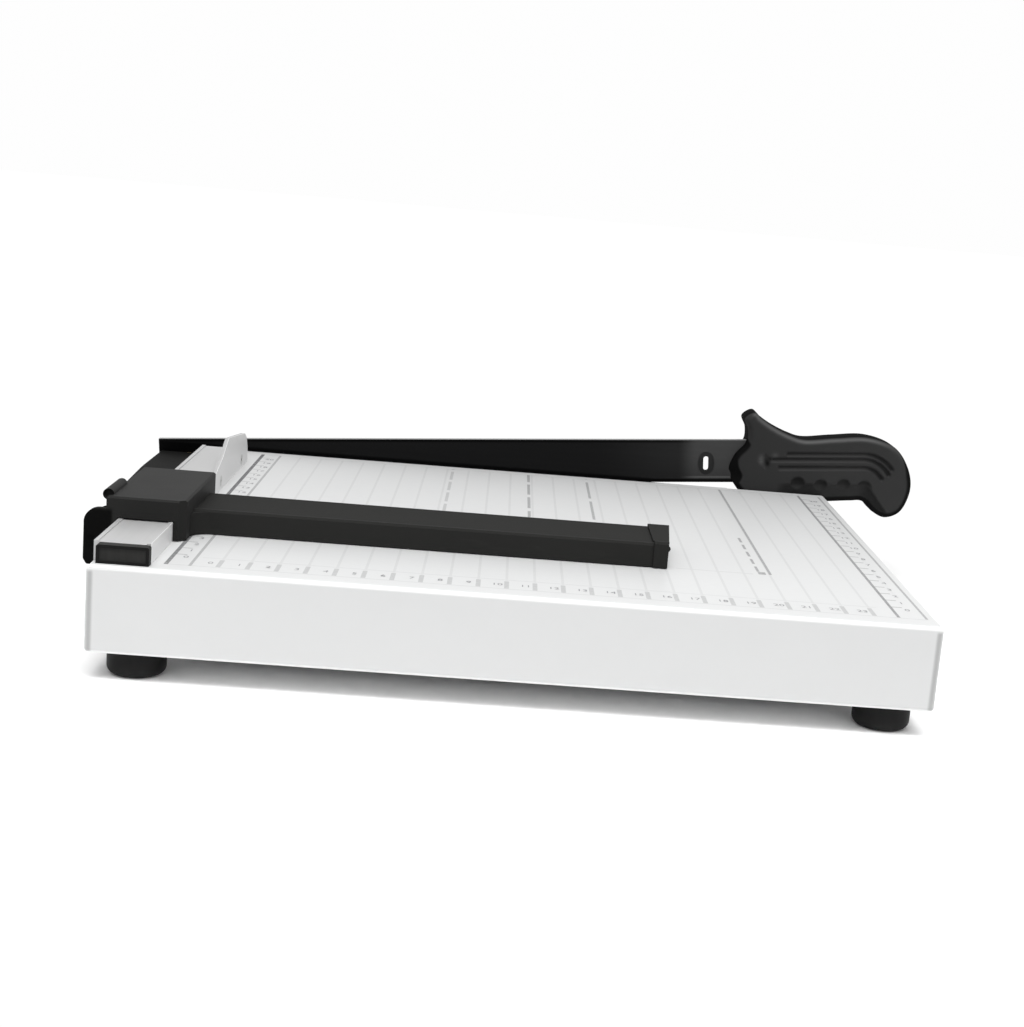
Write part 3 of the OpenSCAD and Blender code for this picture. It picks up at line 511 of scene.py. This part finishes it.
def rubber_finish():
    """Dull black rubber with a dusty bloom towards its lower edge."""
    f = Finish("dull_foot_rubber", specular_ior_level=0.1)
    z = f.axes()[2]
    dust = z.ease(-36, -42.1) * f.grain(240, detail=4.0)
    cloud = f.grain(90, detail=4.0)
    base = f.blend(cloud, grey(0.006), grey(0.014))
    f.feed(base_color=f.blend(dust * 0.5, base, (0.04, 0.04, 0.039, 1)))
    f.feed(roughness=cloud * 0.15 + 0.52)
    f.feed(normal=f.bump(f.grain(1500, detail=2.0), SPARK_DEPTH, SPARK_STRENGTH))
    return f.material


def ink_finish(colours):
    """Print that is a little worn."""
    f = Finish("scale_ink")
    worn = f.grain(1500, detail=2.0)
    f.feed(base_color=f.blend(worn, shade(colours.ink, 2.0), shade(colours.ink, 3.4)))
    f.feed(roughness=worn * 0.2 + 0.35)
    return f.material


FINISHES = {}


def finish_for(slot):
    """The finish of a slot, or of a piece that differs from its slot, made on first use."""
    colours = bpy.context.scene.trimmer_colours

    def toned(name, tone, gloss):
        return moulding(name, shade(colours.moulding, tone), gloss).material

    makers = {
        "white_enamel": lambda: enamel_finish(colours),
        "black_plastic": lambda: block_finish(colours),
        "arm_plastic": lambda: toned("grained_arm_plastic", 1.8, 0.01),
        "lever_plastic": lambda: toned("grained_lever_plastic", 0.22, 0.04),
        "housing_paint": lambda: toned("dull_housing_paint", 0.55, 0.03),
        "cap_plastic": lambda: cap_finish(colours),
        "handle_plastic": lambda: handle_finish(colours),
        "black_enamel": lambda: paint_finish(colours),
        "blade_paint": lambda: blade_finish(colours),
        "rail_alloy": lambda: alloy_finish("drawn_rail_alloy", colours.alloy),
        "fence_alloy": lambda: alloy_finish("rolled_fence_alloy", shade(colours.alloy, 0.97)),
        "ground_steel": lambda: metal_finish("ground_knife_steel", (0.55, 0.56, 0.57), (1, 1, 24), 0.34),
        "zinc_steel": lambda: metal_finish("plated_screw_steel", (0.62, 0.62, 0.61), (1, 1, 1), 0.38),
        "bearing_bronze": lambda: metal_finish("plain_bearing_bronze", (0.6, 0.42, 0.2), (1, 1, 1), 0.36),
        "foot_rubber": rubber_finish,
        "scale_ink": lambda: ink_finish(colours),
    }
    if slot not in FINISHES:
        FINISHES[slot] = makers[slot]()
    return FINISHES[slot]


def body_of_node(node):
    bodies = frame["record"]["behaviour"]["bodies"]
    return next(body for body, nodes in bodies.items() if node in nodes)


def slot_of_node(node):
    return next(s["material_slot"] for s in frame["record"]["subparts"] if s["node"] == node)


def place_piece(name, mesh, body, slot, nodes=(), finish=None):
    """Put a finished mesh in the scene, riding on its body and standing for its nodes."""
    piece = bpy.data.objects.new(name, mesh)
    bpy.context.collection.objects.link(piece)
    mesh.materials.clear()
    mesh.materials.append(finish_for(finish or slot))
    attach(piece, body)
    if nodes:
        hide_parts(*nodes)
    return piece


def dress(*nodes):
    """Give solids that keep their own mesh the finish of their slot."""
    for node in nodes:
        mesh = frame["nodes"][node].data
        mesh.materials.clear()
        mesh.materials.append(finish_for(slot_of_node(node)))


WELD, FLAT_ANGLE, EDGE_ANGLE, EDGE_STEPS = 1e-6, math.radians(0.4), math.radians(28), 3


def eased(node, name, radius, finish=None):
    """A copy of a solid with its flat faces merged and its sharp edges rounded by radius."""
    shell = bmesh.new()
    shell.from_mesh(frame["nodes"][node].data)
    bmesh.ops.remove_doubles(shell, verts=shell.verts, dist=WELD)
    bmesh.ops.dissolve_limit(shell, angle_limit=FLAT_ANGLE, verts=shell.verts, edges=shell.edges)
    bmesh.ops.connect_verts_concave(shell, faces=shell.faces)
    mesh = bpy.data.meshes.new(name)
    shell.to_mesh(mesh)
    shell.free()
    mesh.shade_smooth()
    piece = place_piece(name, mesh, body_of_node(node), slot_of_node(node), (node,), finish)
    rounding = piece.modifiers.new("rounded_edges", "BEVEL")
    rounding.limit_method = "ANGLE"
    rounding.angle_limit = EDGE_ANGLE
    rounding.width = radius
    rounding.segments = EDGE_STEPS
    rounding.use_clamp_overlap = True
    rounding.miter_outer = "MITER_ARC"
    rounding.face_strength_mode = "FSTR_ALL"
    flats = piece.modifiers.new("flat_faces", "WEIGHTED_NORMAL")
    flats.use_face_influence = True


# The handle's own millimetres: along the bar from HANDLE_START past the pivot, and up from the bar's middle.
HANDLE_POINTS = np.array([
    (9.6, 24.6), (4.6, 21.5), (6.3, 15.9), (5.7, 9.4), (0.6, 3.6), (-2.3, -3.5), (-0.5, -9.8), (4.3, -16.2),
    (11, -19.5), (21.9, -20.1), (41.7, -20.2), (57.6, -19.7), (64.4, -20), (69.7, -25.2), (76.4, -28.2),
    (84.1, -24.7), (88.4, -13.8), (86.5, -2.7), (79.4, 7.2), (65.8, 12.1), (49.8, 11.8), (35.4, 11),
    (27.4, 13.2), (19.4, 17.2), (13.3, 21.4)])
HANDLE_START, LOOP_STEPS, SEAM_WELD, SLIVER = 267.0, 60, 2e-6, 1e-7
# Points on the outline of each shell and the pitch of its face, and its rounding's width and depth.
FRONT_MESH, FRONT_EDGE = (900, 0.36), (3.4, 3.4)
BACK_MESH, BACK_EDGE = (700, 0.6), (6.0, 8.0)
RING_ANGLES = np.radians(np.linspace(90, 38, 12))
SPLIT_PITCH, SPLIT_BEVEL, WALL_DEPTH, SMOOTHING = 6.0, 0.3, 0.7, 31
# Share of a curve's radius that the rounding may take, and the least share of its width that it keeps.
ROUND_SHARE, ROUND_LEAST = 0.8, 0.25
# Each groove's start, its height, and the degrees that it turns round the bend.
GROOVES = [(26.6, 3.9, 55), (19.3, 1.1, 60), (22.6, -2.9, 60)]
GROOVE_BEND = np.array([63.8, -13.6])
HOLLOWS = np.array([(31.6, -11.0), (43.0, -12.2), (54.4, -12.0), (64.6, -12.8)])
HOLLOW_RADIUS, HOLLOW_OFFSET = 4.8, 2.8
GRIP_LEVEL, GRIP_START = -10.5, (20, 30)
CREASE_START, CREASE_ANGLE = np.array([66.3, -10.5]), math.radians(-54.7)
GRIP_STEP, GRIP_FALL, GRIP_SLOPE = 0.9, 0.8, 0.14
# The band beside the bar: where it ends, and the bulge, height and reach of the bell curve there.
BAND_EDGE, BAND_BULGE, BAND_HEIGHT, BAND_REACH = 2.4, 2.2, -7.0, 3.6
BAND_MIDDLE, BAND_FADE, BAND_SLOPE = -4, (12, 8), 0.6
EDGE_BLEND, HOLLOW_BLEND = 0.1, 0.15
DENT, DENT_SIZE, DENT_DEPTH = np.array([15.2, 0.5]), np.array([4.0, 4.4]), 1.6
SCREW_WELLS = np.array([(14, 3.4), (40, -5.2), (76, -13.3)])
WELL_RADIUS, WELL_WALL, WELL_DEPTH = 3.25, 0.5, 6.0
# Spots of light and shade about the dent: share, middle and size.
LIGHT_SPOTS = [(0.9, (13.4, 1.4), (1.4, 1.9)), (0.4, (20.1, 3.4), (1.5, 1.2))]
DARK_SPOTS = [(1.0, (16.4, -0.6), (1.2, 1.6)), (0.65, (17.8, 1.8), (0.9, 0.9))]
LIGHT_ANGLE, LIGHT_WIDTH, UPWARD = 42, 17, (0.2, 0.75)


def rise(value, low, high):
    """0 below low, 1 above high, the cubic 3t^2 - 2t^3 between."""
    t = np.clip((value - low) / (high - low), 0, 1)
    return t * t * (3 - 2 * t)


def smooth_loop(points, steps):
    """Closed smooth curve: for each four neighbours, the cubic in t from the second to the third."""
    p0, p1, p2, p3 = (np.roll(points, k, axis=0)[:, None, :] for k in (1, 0, -1, -2))
    t = np.linspace(0, 1, steps, endpoint=False)[None, :, None]
    square, cube = 2 * p0 - 5 * p1 + 4 * p2 - p3, 3 * p1 - p0 - 3 * p2 + p3
    return (0.5 * (2 * p1 + (p2 - p0) * t + square * t**2 + cube * t**3)).reshape(-1, 2)


def handle_loop(count):
    """Outline as count points at equal distances, counter-clockwise."""
    loop = smooth_loop(HANDLE_POINTS, LOOP_STEPS)
    chain = np.vstack([loop, loop[:1]])
    reach = np.concatenate([[0], np.cumsum(np.linalg.norm(np.diff(chain, axis=0), axis=1))])
    want = np.linspace(0, reach[-1], count, endpoint=False)
    return np.stack([np.interp(want, reach, chain[:, k]) for k in (0, 1)], axis=1)


def around(values):
    """A closed row of values smoothed by a raised cosine over SMOOTHING of them."""
    kernel = np.hanning(SMOOTHING) / np.hanning(SMOOTHING).sum()
    half = SMOOTHING // 2
    return np.convolve(np.concatenate([values[-half:], values, values[:half]]), kernel, mode="valid")


def inward(loop, most):
    """Inward unit normals of a counter-clockwise loop, and how much of most fits where it curves tightly."""
    along = np.roll(loop, -2, axis=0) - np.roll(loop, 2, axis=0)
    step = np.linalg.norm(along, axis=1, keepdims=True)
    along = along / step
    normal = np.stack([-along[:, 1], along[:, 0]], axis=1)
    turn = np.roll(along, -2, axis=0) - np.roll(along, 2, axis=0)
    curve = (turn * normal).sum(axis=1) / step[:, 0]
    room = np.clip(ROUND_SHARE / np.maximum(curve, 1e-6) / most, ROUND_LEAST, 1.0)
    return normal, around(room)


def groove_profile(points, width):
    """1 on a groove's path and 0 at width from it, as a cosine: a straight run, then an arc about the bend."""
    h, w = points.T
    from_bend = points - GROOVE_BEND
    turn = np.arctan2(from_bend[:, 0], from_bend[:, 1])
    gap = np.full(len(points), np.inf)
    for start, level, sweep in GROOVES:
        run = np.hypot(h - np.clip(h, start, GROOVE_BEND[0]), w - level)
        angle = np.clip(turn, 0, math.radians(sweep))
        nearest = GROOVE_BEND + (level - GROOVE_BEND[1]) * np.stack([np.sin(angle), np.cos(angle)], axis=1)
        gap = np.minimum(gap, np.minimum(run, np.linalg.norm(points - nearest, axis=1)))
    return 0.5 + 0.5 * np.cos(np.pi * np.clip(gap / width, 0, 1))


def below_grip(points):
    """Distance below the grip's level and left of the crease that runs down the pommel, 0 above them."""
    side = np.array([math.sin(CREASE_ANGLE), -math.cos(CREASE_ANGLE)])
    beyond = (points - CREASE_START) @ side
    under = np.minimum(GRIP_LEVEL - points[:, 1], beyond)
    return np.clip(under, 0, None) * rise(points[:, 0], *GRIP_START)


def hollow_depth(points):
    """Depth of the finger hollows: balls that stand off the face, each cut where it meets the face."""
    away = np.linalg.norm(points[:, None, :] - HOLLOWS[None], axis=2).min(axis=1)
    ball = np.sqrt(np.maximum(HOLLOW_RADIUS**2 - away**2, 0)) - HOLLOW_OFFSET
    return np.where(away < HOLLOW_RADIUS, ball, -HOLLOW_OFFSET)


def left_band(points):
    """Distance left of a bell curve where the face falls away, in the band beside the bar and 0 elsewhere."""
    h, w = points.T
    edge = BAND_EDGE + BAND_BULGE * np.exp(-(((w - BAND_HEIGHT) / BAND_REACH) ** 2))
    return np.clip(edge - h, 0, None) * rise(np.abs(w - BAND_MIDDLE), *BAND_FADE)


def dent_share(points):
    """1 in the middle of a four-sided pyramid sunk into the face, 0 at its rim."""
    return np.clip(1 - (np.abs(points - DENT) / DENT_SIZE).sum(axis=1), 0, 1)


def spot(points, middle, size):
    """A soft round spot: the bell curve of the distance from middle, as wide as size along each axis."""
    return np.exp(-(((points - np.array(middle)) / np.array(size)) ** 2).sum(axis=1))


def soft_max(a, b, blend):
    """The larger of two depths with a rounded join: half of a + b + sqrt((a - b)^2 + blend^2)."""
    return 0.5 * (a + b + np.sqrt((a - b) ** 2 + blend**2))


def from_loop(points, loop):
    """Distance of each point from a closed loop, over the two edges at its nearest corner, and that corner."""
    near = np.concatenate([np.linalg.norm(block[:, None] - loop[None], axis=2).argmin(axis=1)
                           for block in np.array_split(points, 24)])
    gaps = []
    for step in (-1, 0):
        start = loop[(near + step) % len(loop)]
        along = loop[(near + step + 1) % len(loop)] - start
        share = np.clip(((points - start) * along).sum(axis=1) / (along**2).sum(axis=1), 0, 1)
        gaps.append(np.linalg.norm(points - start - along * share[:, None], axis=1))
    return np.minimum(*gaps), near


def filled(ring, pitch):
    """Points and triangles of the area inside a ring: the ring itself and a square grid at pitch within it."""
    low, high = ring.min(axis=0), ring.max(axis=0)
    grid = np.stack(np.meshgrid(*(np.arange(a, b, pitch) for a, b in zip(low, high)), indexing="ij"), axis=-1)
    grid = grid.reshape(-1, 2)
    points = np.vstack([ring, grid[from_loop(grid, ring)[0] > 0.6 * pitch]])
    edges = [(i, (i + 1) % len(ring)) for i in range(len(ring))]
    found, _, triangles, *_ = delaunay_2d_cdt([Vector(p) for p in points.tolist()], edges, [], 1, 1e-6)
    used, corners = np.unique(np.array(triangles), return_inverse=True)
    return np.array([tuple(p) for p in found])[used], corners.reshape(-1, 3)


def shell_surface(count, pitch, split, edge, detail):
    """Half of the handle: the split plane, the wall, the rounded edge and the face.

    At distance d inside the outline the depth is e(1 - sqrt(1 - t^2)) with t = 1 - d / w, where edge = (w, e) is
    the rounding's width and depth. Rings follow the outline where this is steep, a triangulated grid fills the
    rest, and detail(points, depth) carves the depth. Returns points as (along, up, depth), faces, and for each
    point the rounding's angle in degrees and how far the nearest wall looks upwards.
    """
    loop = handle_loop(count)
    normal, room = inward(loop, edge[0])
    insets = np.concatenate([[SPLIT_BEVEL, 0, 0], edge[0] * (1 - np.sin(RING_ANGLES))])
    rings = loop[None] + (normal * room[:, None])[None] * insets[:, None, None]
    size = len(loop)
    k, i = np.meshgrid(np.arange(len(rings) - 1), np.arange(size), indexing="ij")
    a, b = k * size + i, k * size + (i + 1) % size
    faces = np.stack([a, b, b + size, a + size], axis=-1).reshape(-1, 4).tolist()
    back, back_faces = filled(rings[0], SPLIT_PITCH)
    face, face_faces = filled(rings[-1], pitch)
    base = len(rings) * size
    faces += (base + back_faces).tolist() + (base + len(back) + face_faces).tolist()
    flat = np.vstack([rings.reshape(-1, 2), back, face])
    gap, near = from_loop(flat, loop)
    t = 1 - np.clip(gap / edge[0], 0, 1)
    deep = edge[1] * (1 - np.sqrt(1 - t**2))
    for ring in range(3):
        deep[ring * size : (ring + 1) * size] = split - ring * SPLIT_BEVEL
    deep[base : base + len(back)] = split
    wall = deep > split - WALL_DEPTH
    carved = np.where(wall, deep, np.minimum(detail(flat, deep), split - WALL_DEPTH))
    angle = np.where(wall, 90, np.degrees(np.arcsin(t)))
    return np.column_stack([flat, carved]), faces, angle, around(-normal[:, 1])[near]


def edge_light(angle, up):
    """Share of light on a rounded edge that looks up: a bell curve of the rounding's angle in degrees."""
    return np.exp(-(((angle - LIGHT_ANGLE) / LIGHT_WIDTH) ** 2)) * rise(up, *UPWARD)


def on_bar(along, up, y):
    """Metres from the bar's own millimetres: turned by the rest angle about the pivot, y from the front wall."""
    along, up = (HANDLE_START + along) * MM, (BAR_OFFSET + up) * MM
    x = PIVOT[0] + along * math.cos(TILT) - up * math.sin(TILT)
    z = PIVOT[2] + along * math.sin(TILT) + up * math.cos(TILT)
    return np.column_stack([x, TABLE_LOW[1] + y * MM, z])


def mesh_from(name, points, faces, **tones):
    """Mesh with its seams welded, faces outwards and smooth, and each tone as an attribute of its points."""
    mesh = bpy.data.meshes.new(name)
    mesh.from_pydata(points, [], faces)
    for tone, values in tones.items():
        mesh.attributes.new(tone, "FLOAT", "POINT").data.foreach_set("value", values.astype(np.float32))
    shell = bmesh.new()
    shell.from_mesh(mesh)
    bmesh.ops.remove_doubles(shell, verts=shell.verts, dist=SEAM_WELD)
    bmesh.ops.dissolve_degenerate(shell, edges=shell.edges, dist=SLIVER)
    bmesh.ops.recalc_face_normals(shell, faces=shell.faces)
    shell.to_mesh(mesh)
    shell.free()
    mesh.shade_smooth()
    return mesh


NUMBER_LIFT = 0.05
NEAR_NUMBERS, NEAR_LEVEL, NEAR_SHIFT = range(24), 14.2, -3.4
SIDE_NUMBERS, SIDE_COLUMNS, SIDE_SHIFT = range(21), (30.2, 291.2), -3.6


def scale_numbers(size):
    """Numbers of the centimetre scales as flat outlines: along the near edge, the left line and the right band."""
    marks = [(i, FIRST_COLUMN + TICK_PITCH * i + NEAR_SHIFT, NEAR_LEVEL) for i in NEAR_NUMBERS]
    marks += [(i, x, FIRST_ROW + TICK_PITCH * i + SIDE_SHIFT) for x in SIDE_COLUMNS for i in SIDE_NUMBERS]
    sheet = bmesh.new()
    for number, x, y in marks:
        curve = bpy.data.curves.new("number", "FONT")
        curve.body = str(number)
        curve.size = size
        curve.align_x = "CENTER"
        curve.align_y = "CENTER"
        curve.resolution_u = 3
        holder = bpy.data.objects.new("number", curve)
        bpy.context.collection.objects.link(holder)
        flat = bpy.data.meshes.new_from_object(holder.evaluated_get(bpy.context.evaluated_depsgraph_get()))
        flat.transform(Matrix.Translation(bench(x, y, NUMBER_LIFT)))
        sheet.from_mesh(flat)
        bpy.data.objects.remove(holder)
        bpy.data.curves.remove(curve)
        bpy.data.meshes.remove(flat)
    mesh = bpy.data.meshes.new("scale_numbers")
    sheet.to_mesh(mesh)
    sheet.free()
    return mesh


class TRIMMER_OT_table(bpy.types.Operator):
    """Enamel the folded table, print its scales and set it on its feet"""

    bl_idname = "trimmer.table"
    bl_label = "Table and Feet"

    def execute(self, context):
        sizes = context.scene.trimmer_sizes
        eased("base_tray", "table_shell", sizes.soft_edge)
        numbers = scale_numbers(sizes.number_size)
        place_piece("scale_numbers", numbers, "base", "white_enamel", finish="scale_ink")
        dress("foot_front_left", "foot_front_right", "foot_rear_left", "foot_rear_right")
        return {"FINISHED"}


class TRIMMER_OT_knives(bpy.types.Operator):
    """Finish the fixed knife, the blade bar and its pivot"""

    bl_idname = "trimmer.knives"
    bl_label = "Knives and Pivot"

    def execute(self, context):
        sizes = context.scene.trimmer_sizes
        eased("blade", "blade_bar", sizes.sharp_edge, "blade_paint")
        eased("pivot_housing", "pivot_block", sizes.soft_edge, "housing_paint")
        for node in ("pivot_bolt", "lock_nut"):
            eased(node, node + "_turned", sizes.sharp_edge)
        dress("lower_knife", "pivot_bush", "thrust_washer", "head_washer", "disc_springs", "set_screw")
        return {"FINISHED"}


class TRIMMER_OT_rail(bpy.types.Operator):
    """Finish the guide rail, its end cap and the fence"""

    bl_idname = "trimmer.rail"
    bl_label = "Rail and Fence"

    def execute(self, context):
        sizes = context.scene.trimmer_sizes
        eased("guide_rail", "rail_extrusion", sizes.sharp_edge)
        eased("rail_fence", "fence_plate", sizes.sharp_edge, "fence_alloy")
        eased("rail_end_cap", "rail_plug", sizes.sharp_edge, "cap_plastic")
        return {"FINISHED"}


class TRIMMER_OT_stop(bpy.types.Operator):
    """Finish the paper stop, its arm and the lock lever"""

    bl_idname = "trimmer.stop"
    bl_label = "Paper Stop"

    def execute(self, context):
        soft = context.scene.trimmer_sizes.soft_edge
        eased("stop_block", "stop_saddle", soft)
        eased("stop_arm", "stop_bar", soft, "arm_plastic")
        eased("arm_end_cap", "stop_bar_tip", soft, "arm_plastic")
        eased("lock_lever", "cam_lever", soft, "lever_plastic")
        dress("lever_pin")
        return {"FINISHED"}


class TRIMMER_OT_handle(bpy.types.Operator):
    """Mould the two shells of the handle with grooves, finger hollows and screw wells"""

    bl_idname = "trimmer.handle"
    bl_label = "Handle"

    def execute(self, context):
        sizes = context.scene.trimmer_sizes
        near, split = (in_bench(corner)[1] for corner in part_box("handle_front_shell"))
        far = in_bench(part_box("handle_back_shell")[1])[1]
        width, depth = sizes.groove_width / MM, sizes.groove_depth / MM
        self.face(near, split, width, depth)
        self.back(split, far)
        return {"FINISHED"}

    def face(self, near, split, width, depth):
        """Front shell: grooves, a dent, finger hollows and a set-back lower grip, with painted shade where they
        are deep and painted highlights on the top edge and about the dent.
        """

        def carve(points, deep):
            sunk = groove_profile(points, width) * depth + dent_share(points) * DENT_DEPTH
            under = below_grip(points)
            step = GRIP_STEP * (1 - np.exp(-under / GRIP_FALL)) + GRIP_SLOPE * under
            cut = soft_max(deep + sunk * (deep < 0.5), step, EDGE_BLEND)
            cut = soft_max(cut, BAND_SLOPE * left_band(points), EDGE_BLEND)
            return soft_max(cut, hollow_depth(points), HOLLOW_BLEND)

        points, faces, angle, up = shell_surface(*FRONT_MESH, split - near, FRONT_EDGE, carve)
        flat = points[:, :2]
        h, w = flat.T
        beyond_spur = rise(h, 7.5, 10.5)
        # Painted highlight on the rounded top edge and in spots beside the dent.
        light = 0.75 * edge_light(angle, up) * beyond_spur * rise(h, 88, 64)
        light = np.maximum(light, sum(share * spot(flat, at, size) for share, at, size in LIGHT_SPOTS))
        spared = np.maximum(rise(up, *UPWARD) * beyond_spur, 0.9 * rise(w, 8, 12) * rise(h, 13, 9))
        under, hollow = below_grip(flat), hollow_depth(flat)
        # Painted shade on the walls, grooves, set-back grip, hollows, left band and beside the dent.
        shares = [
            rise(angle, 2 + 56 * spared, 28 + 54 * spared),
            (0.32 + 0.3 * rise(h, 62, 70)) * groove_profile(flat, width),
            0.3 * rise(under, 0, 1.2) + 0.3 * rise(h, 60, 68) * rise(w, -11, -15) * rise(under, 0, 1),
            0.55 * rise(hollow, 0, 0.9) * rise(w, -13.5, -10.5),
            rise(left_band(flat), 0, 1.0),
        ]
        shares += [share * spot(flat, at, size) for share, at, size in DARK_SPOTS]
        dark = np.max(shares, axis=0)
        mesh = mesh_from("handle_face", on_bar(h, w, near + points[:, 2]), faces, dark=dark, light=light)
        place_piece("handle_face", mesh, "blade_arm", "handle_plastic", ("handle_front_shell",))

    def back(self, split, far):
        """Back shell: a plain face with the wells of the screws, painted shade on the walls and a painted
        highlight on the top edge.
        """

        def carve(points, deep):
            away = np.linalg.norm(points[:, None] - SCREW_WELLS[None], axis=2).min(axis=1)
            return np.maximum(deep, WELL_DEPTH * np.clip((WELL_RADIUS - away) / WELL_WALL, 0, 1))

        points, faces, angle, up = shell_surface(*BACK_MESH, far - split, BACK_EDGE, carve)
        h, w, deep = points.T
        # Painted shade on the walls and a painted highlight on the rounded top edge.
        dark, light = rise(angle, 60, 85), 0.4 * edge_light(angle, up)
        mesh = mesh_from("handle_back", on_bar(h, w, far - deep), faces, dark=dark, light=light)
        place_piece("handle_back", mesh, "blade_arm", "handle_plastic", ("handle_back_shell",))


class TRIMMER_OT_fasteners(bpy.types.Operator):
    """Plate the screws and nuts"""

    bl_idname = "trimmer.fasteners"
    bl_label = "Screws and Nuts"

    def execute(self, context):
        dress("knife_screws", "knife_nuts", "foot_screws", "foot_nuts", "rail_screws", "fence_screws",
              "housing_screws", "handle_screws", "arm_screws")
        return {"FINISHED"}


FLOOR_HALF = 6.0
SUN_PLACE = np.array([0.15, -0.35, 1.0])
PANEL_PLACE, PANEL_AIM = bench(160, -200, 480), bench(150, 10, 0)
PANEL_SIZE, PANEL_SPREAD = (0.8, 0.12), math.radians(50)
CAMERA_PLACE = bench(139.04, -569.96, 146.62)
CAMERA_TURN = [math.radians(angle) for angle in (2.872, 11.521, -4.938)]
CAMERA_SHIFT, CAMERA_CLIP, SENSOR_WIDTH = (-0.065, 0.0014), (0.01, 50), 36


class TRIMMER_OT_stage(bpy.types.Operator):
    """Set up the pale floor, the soft light and the camera"""

    bl_idname = "trimmer.stage"
    bl_label = "Stage"

    def execute(self, context):
        studio = context.scene.trimmer_studio
        self.floor()
        self.sky(context.scene, studio.sky)
        self.sun(studio.spread, studio.overhead)
        self.panel(studio.front)
        self.camera(context.scene, studio.lens)
        context.scene.view_settings.view_transform = "Standard"
        return {"FINISHED"}

    def floor(self):
        """A flat square sheet under the feet."""
        mesh = bpy.data.meshes.new("floor")
        signs = ((-1, -1), (1, -1), (1, 1), (-1, 1))
        mesh.from_pydata([(FLOOR_HALF * x, FLOOR_HALF * y, 0) for x, y in signs], [], [(0, 1, 2, 3)])
        floor = bpy.data.objects.new("floor", mesh)
        bpy.context.collection.objects.link(floor)
        f = Finish("pale_floor", roughness=1.0, specular_ior_level=0.0)
        f.feed(base_color=f.blend(f.grain(3), grey(0.97), grey(0.98)))
        mesh.materials.append(f.material)

    def sky(self, scene, strength):
        """White to the camera and in reflections, and an even light of the given strength elsewhere."""
        world = bpy.data.worlds.new("studio")
        world.use_nodes = True
        scene.world = world
        studio = Wiring(world.node_tree)
        even = studio.tree.nodes["Background"]
        studio.join(grey(1.0), even.inputs["Color"])
        studio.join(strength, even.inputs["Strength"])
        bright = studio.add("Background", (), {"Color": grey(0.99)})
        kinds = ("Is Camera Ray", "Is Glossy Ray", "Is Transmission Ray")
        seen = functools.reduce(Field.top, [studio.add("LightPath", output=kind) for kind in kinds])
        mixed = studio.add("MixShader", (), {0: seen, 1: Field(studio, even.outputs[0]), 2: bright})
        studio.join(mixed, studio.tree.nodes["World Output"].inputs["Surface"])

    def hang(self, light, place, aim):
        """Put a light at place, turned towards aim."""
        lamp = bpy.data.objects.new(light.name, light)
        bpy.context.collection.objects.link(lamp)
        lamp.location = place
        lamp.rotation_euler = Vector(aim - place).to_track_quat("-Z", "Y").to_euler()

    def sun(self, spread, strength):
        """A broad even light from above towards the middle of the table."""
        light = bpy.data.lights.new("overhead_lamp", "SUN")
        light.angle = spread
        light.energy = strength
        self.hang(light, SUN_PLACE, np.zeros(3))

    def panel(self, power):
        """A soft panel with a narrow beam that lifts the near half of the table."""
        light = bpy.data.lights.new("front_lamp", "AREA")
        light.shape = "RECTANGLE"
        light.size, light.size_y = PANEL_SIZE
        light.spread = PANEL_SPREAD
        light.energy = power
        self.hang(light, PANEL_PLACE, PANEL_AIM)

    def camera(self, scene, lens):
        """Camera from its place in front of the table and its yaw, pitch and roll."""
        yaw, pitch, roll = CAMERA_TURN
        level = math.cos(pitch)
        ahead = Vector((math.sin(yaw) * level, math.cos(yaw) * level, -math.sin(pitch)))
        aside = Vector((math.cos(yaw), -math.sin(yaw), 0))
        down = ahead.cross(aside)
        right = aside * math.cos(roll) + down * math.sin(roll)
        low = down * math.cos(roll) - aside * math.sin(roll)
        data = bpy.data.cameras.new("camera")
        data.sensor_width = SENSOR_WIDTH
        data.sensor_fit = "HORIZONTAL"
        data.lens = lens
        data.shift_x, data.shift_y = CAMERA_SHIFT
        data.clip_start, data.clip_end = CAMERA_CLIP
        camera = bpy.data.objects.new("camera", data)
        bpy.context.collection.objects.link(camera)
        turn = Matrix((right, -low, -ahead)).transposed().to_4x4()
        camera.matrix_world = Matrix.Translation(CAMERA_PLACE) @ turn
        scene.camera = camera


class TRIMMER_PT_panel(bpy.types.Panel):
    """Sizes, colours and steps of the trimmer"""

    bl_idname = "TRIMMER_PT_panel"
    bl_label = "Paper Trimmer"
    bl_space_type = "VIEW_3D"
    bl_region_type = "UI"
    bl_category = "Trimmer"

    def draw(self, context):
        scene = context.scene
        for group in (scene.trimmer_sizes, scene.trimmer_colours, scene.trimmer_studio):
            for key in group.__annotations__:
                self.layout.prop(group, key)
        for step in STEPS:
            self.layout.operator(step.bl_idname)


STEPS = (TRIMMER_OT_table, TRIMMER_OT_knives, TRIMMER_OT_rail, TRIMMER_OT_stop, TRIMMER_OT_handle,
         TRIMMER_OT_fasteners, TRIMMER_OT_stage)
CLASSES = (TrimmerSizes, TrimmerColours, TrimmerStudio, *STEPS, TRIMMER_PT_panel)


def register():
    for cls in CLASSES:
        bpy.utils.register_class(cls)
    bpy.types.Scene.trimmer_sizes = bpy.props.PointerProperty(type=TrimmerSizes)
    bpy.types.Scene.trimmer_colours = bpy.props.PointerProperty(type=TrimmerColours)
    bpy.types.Scene.trimmer_studio = bpy.props.PointerProperty(type=TrimmerStudio)


def unregister():
    del bpy.types.Scene.trimmer_studio
    del bpy.types.Scene.trimmer_colours
    del bpy.types.Scene.trimmer_sizes
    for cls in reversed(CLASSES):
        bpy.utils.unregister_class(cls)


def main():
    """Registers the add-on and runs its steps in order."""
    register()
    for step in STEPS:
        group, name = step.bl_idname.split(".")
        getattr(getattr(bpy.ops, group), name)()


if __name__ == "__main__":
    main()
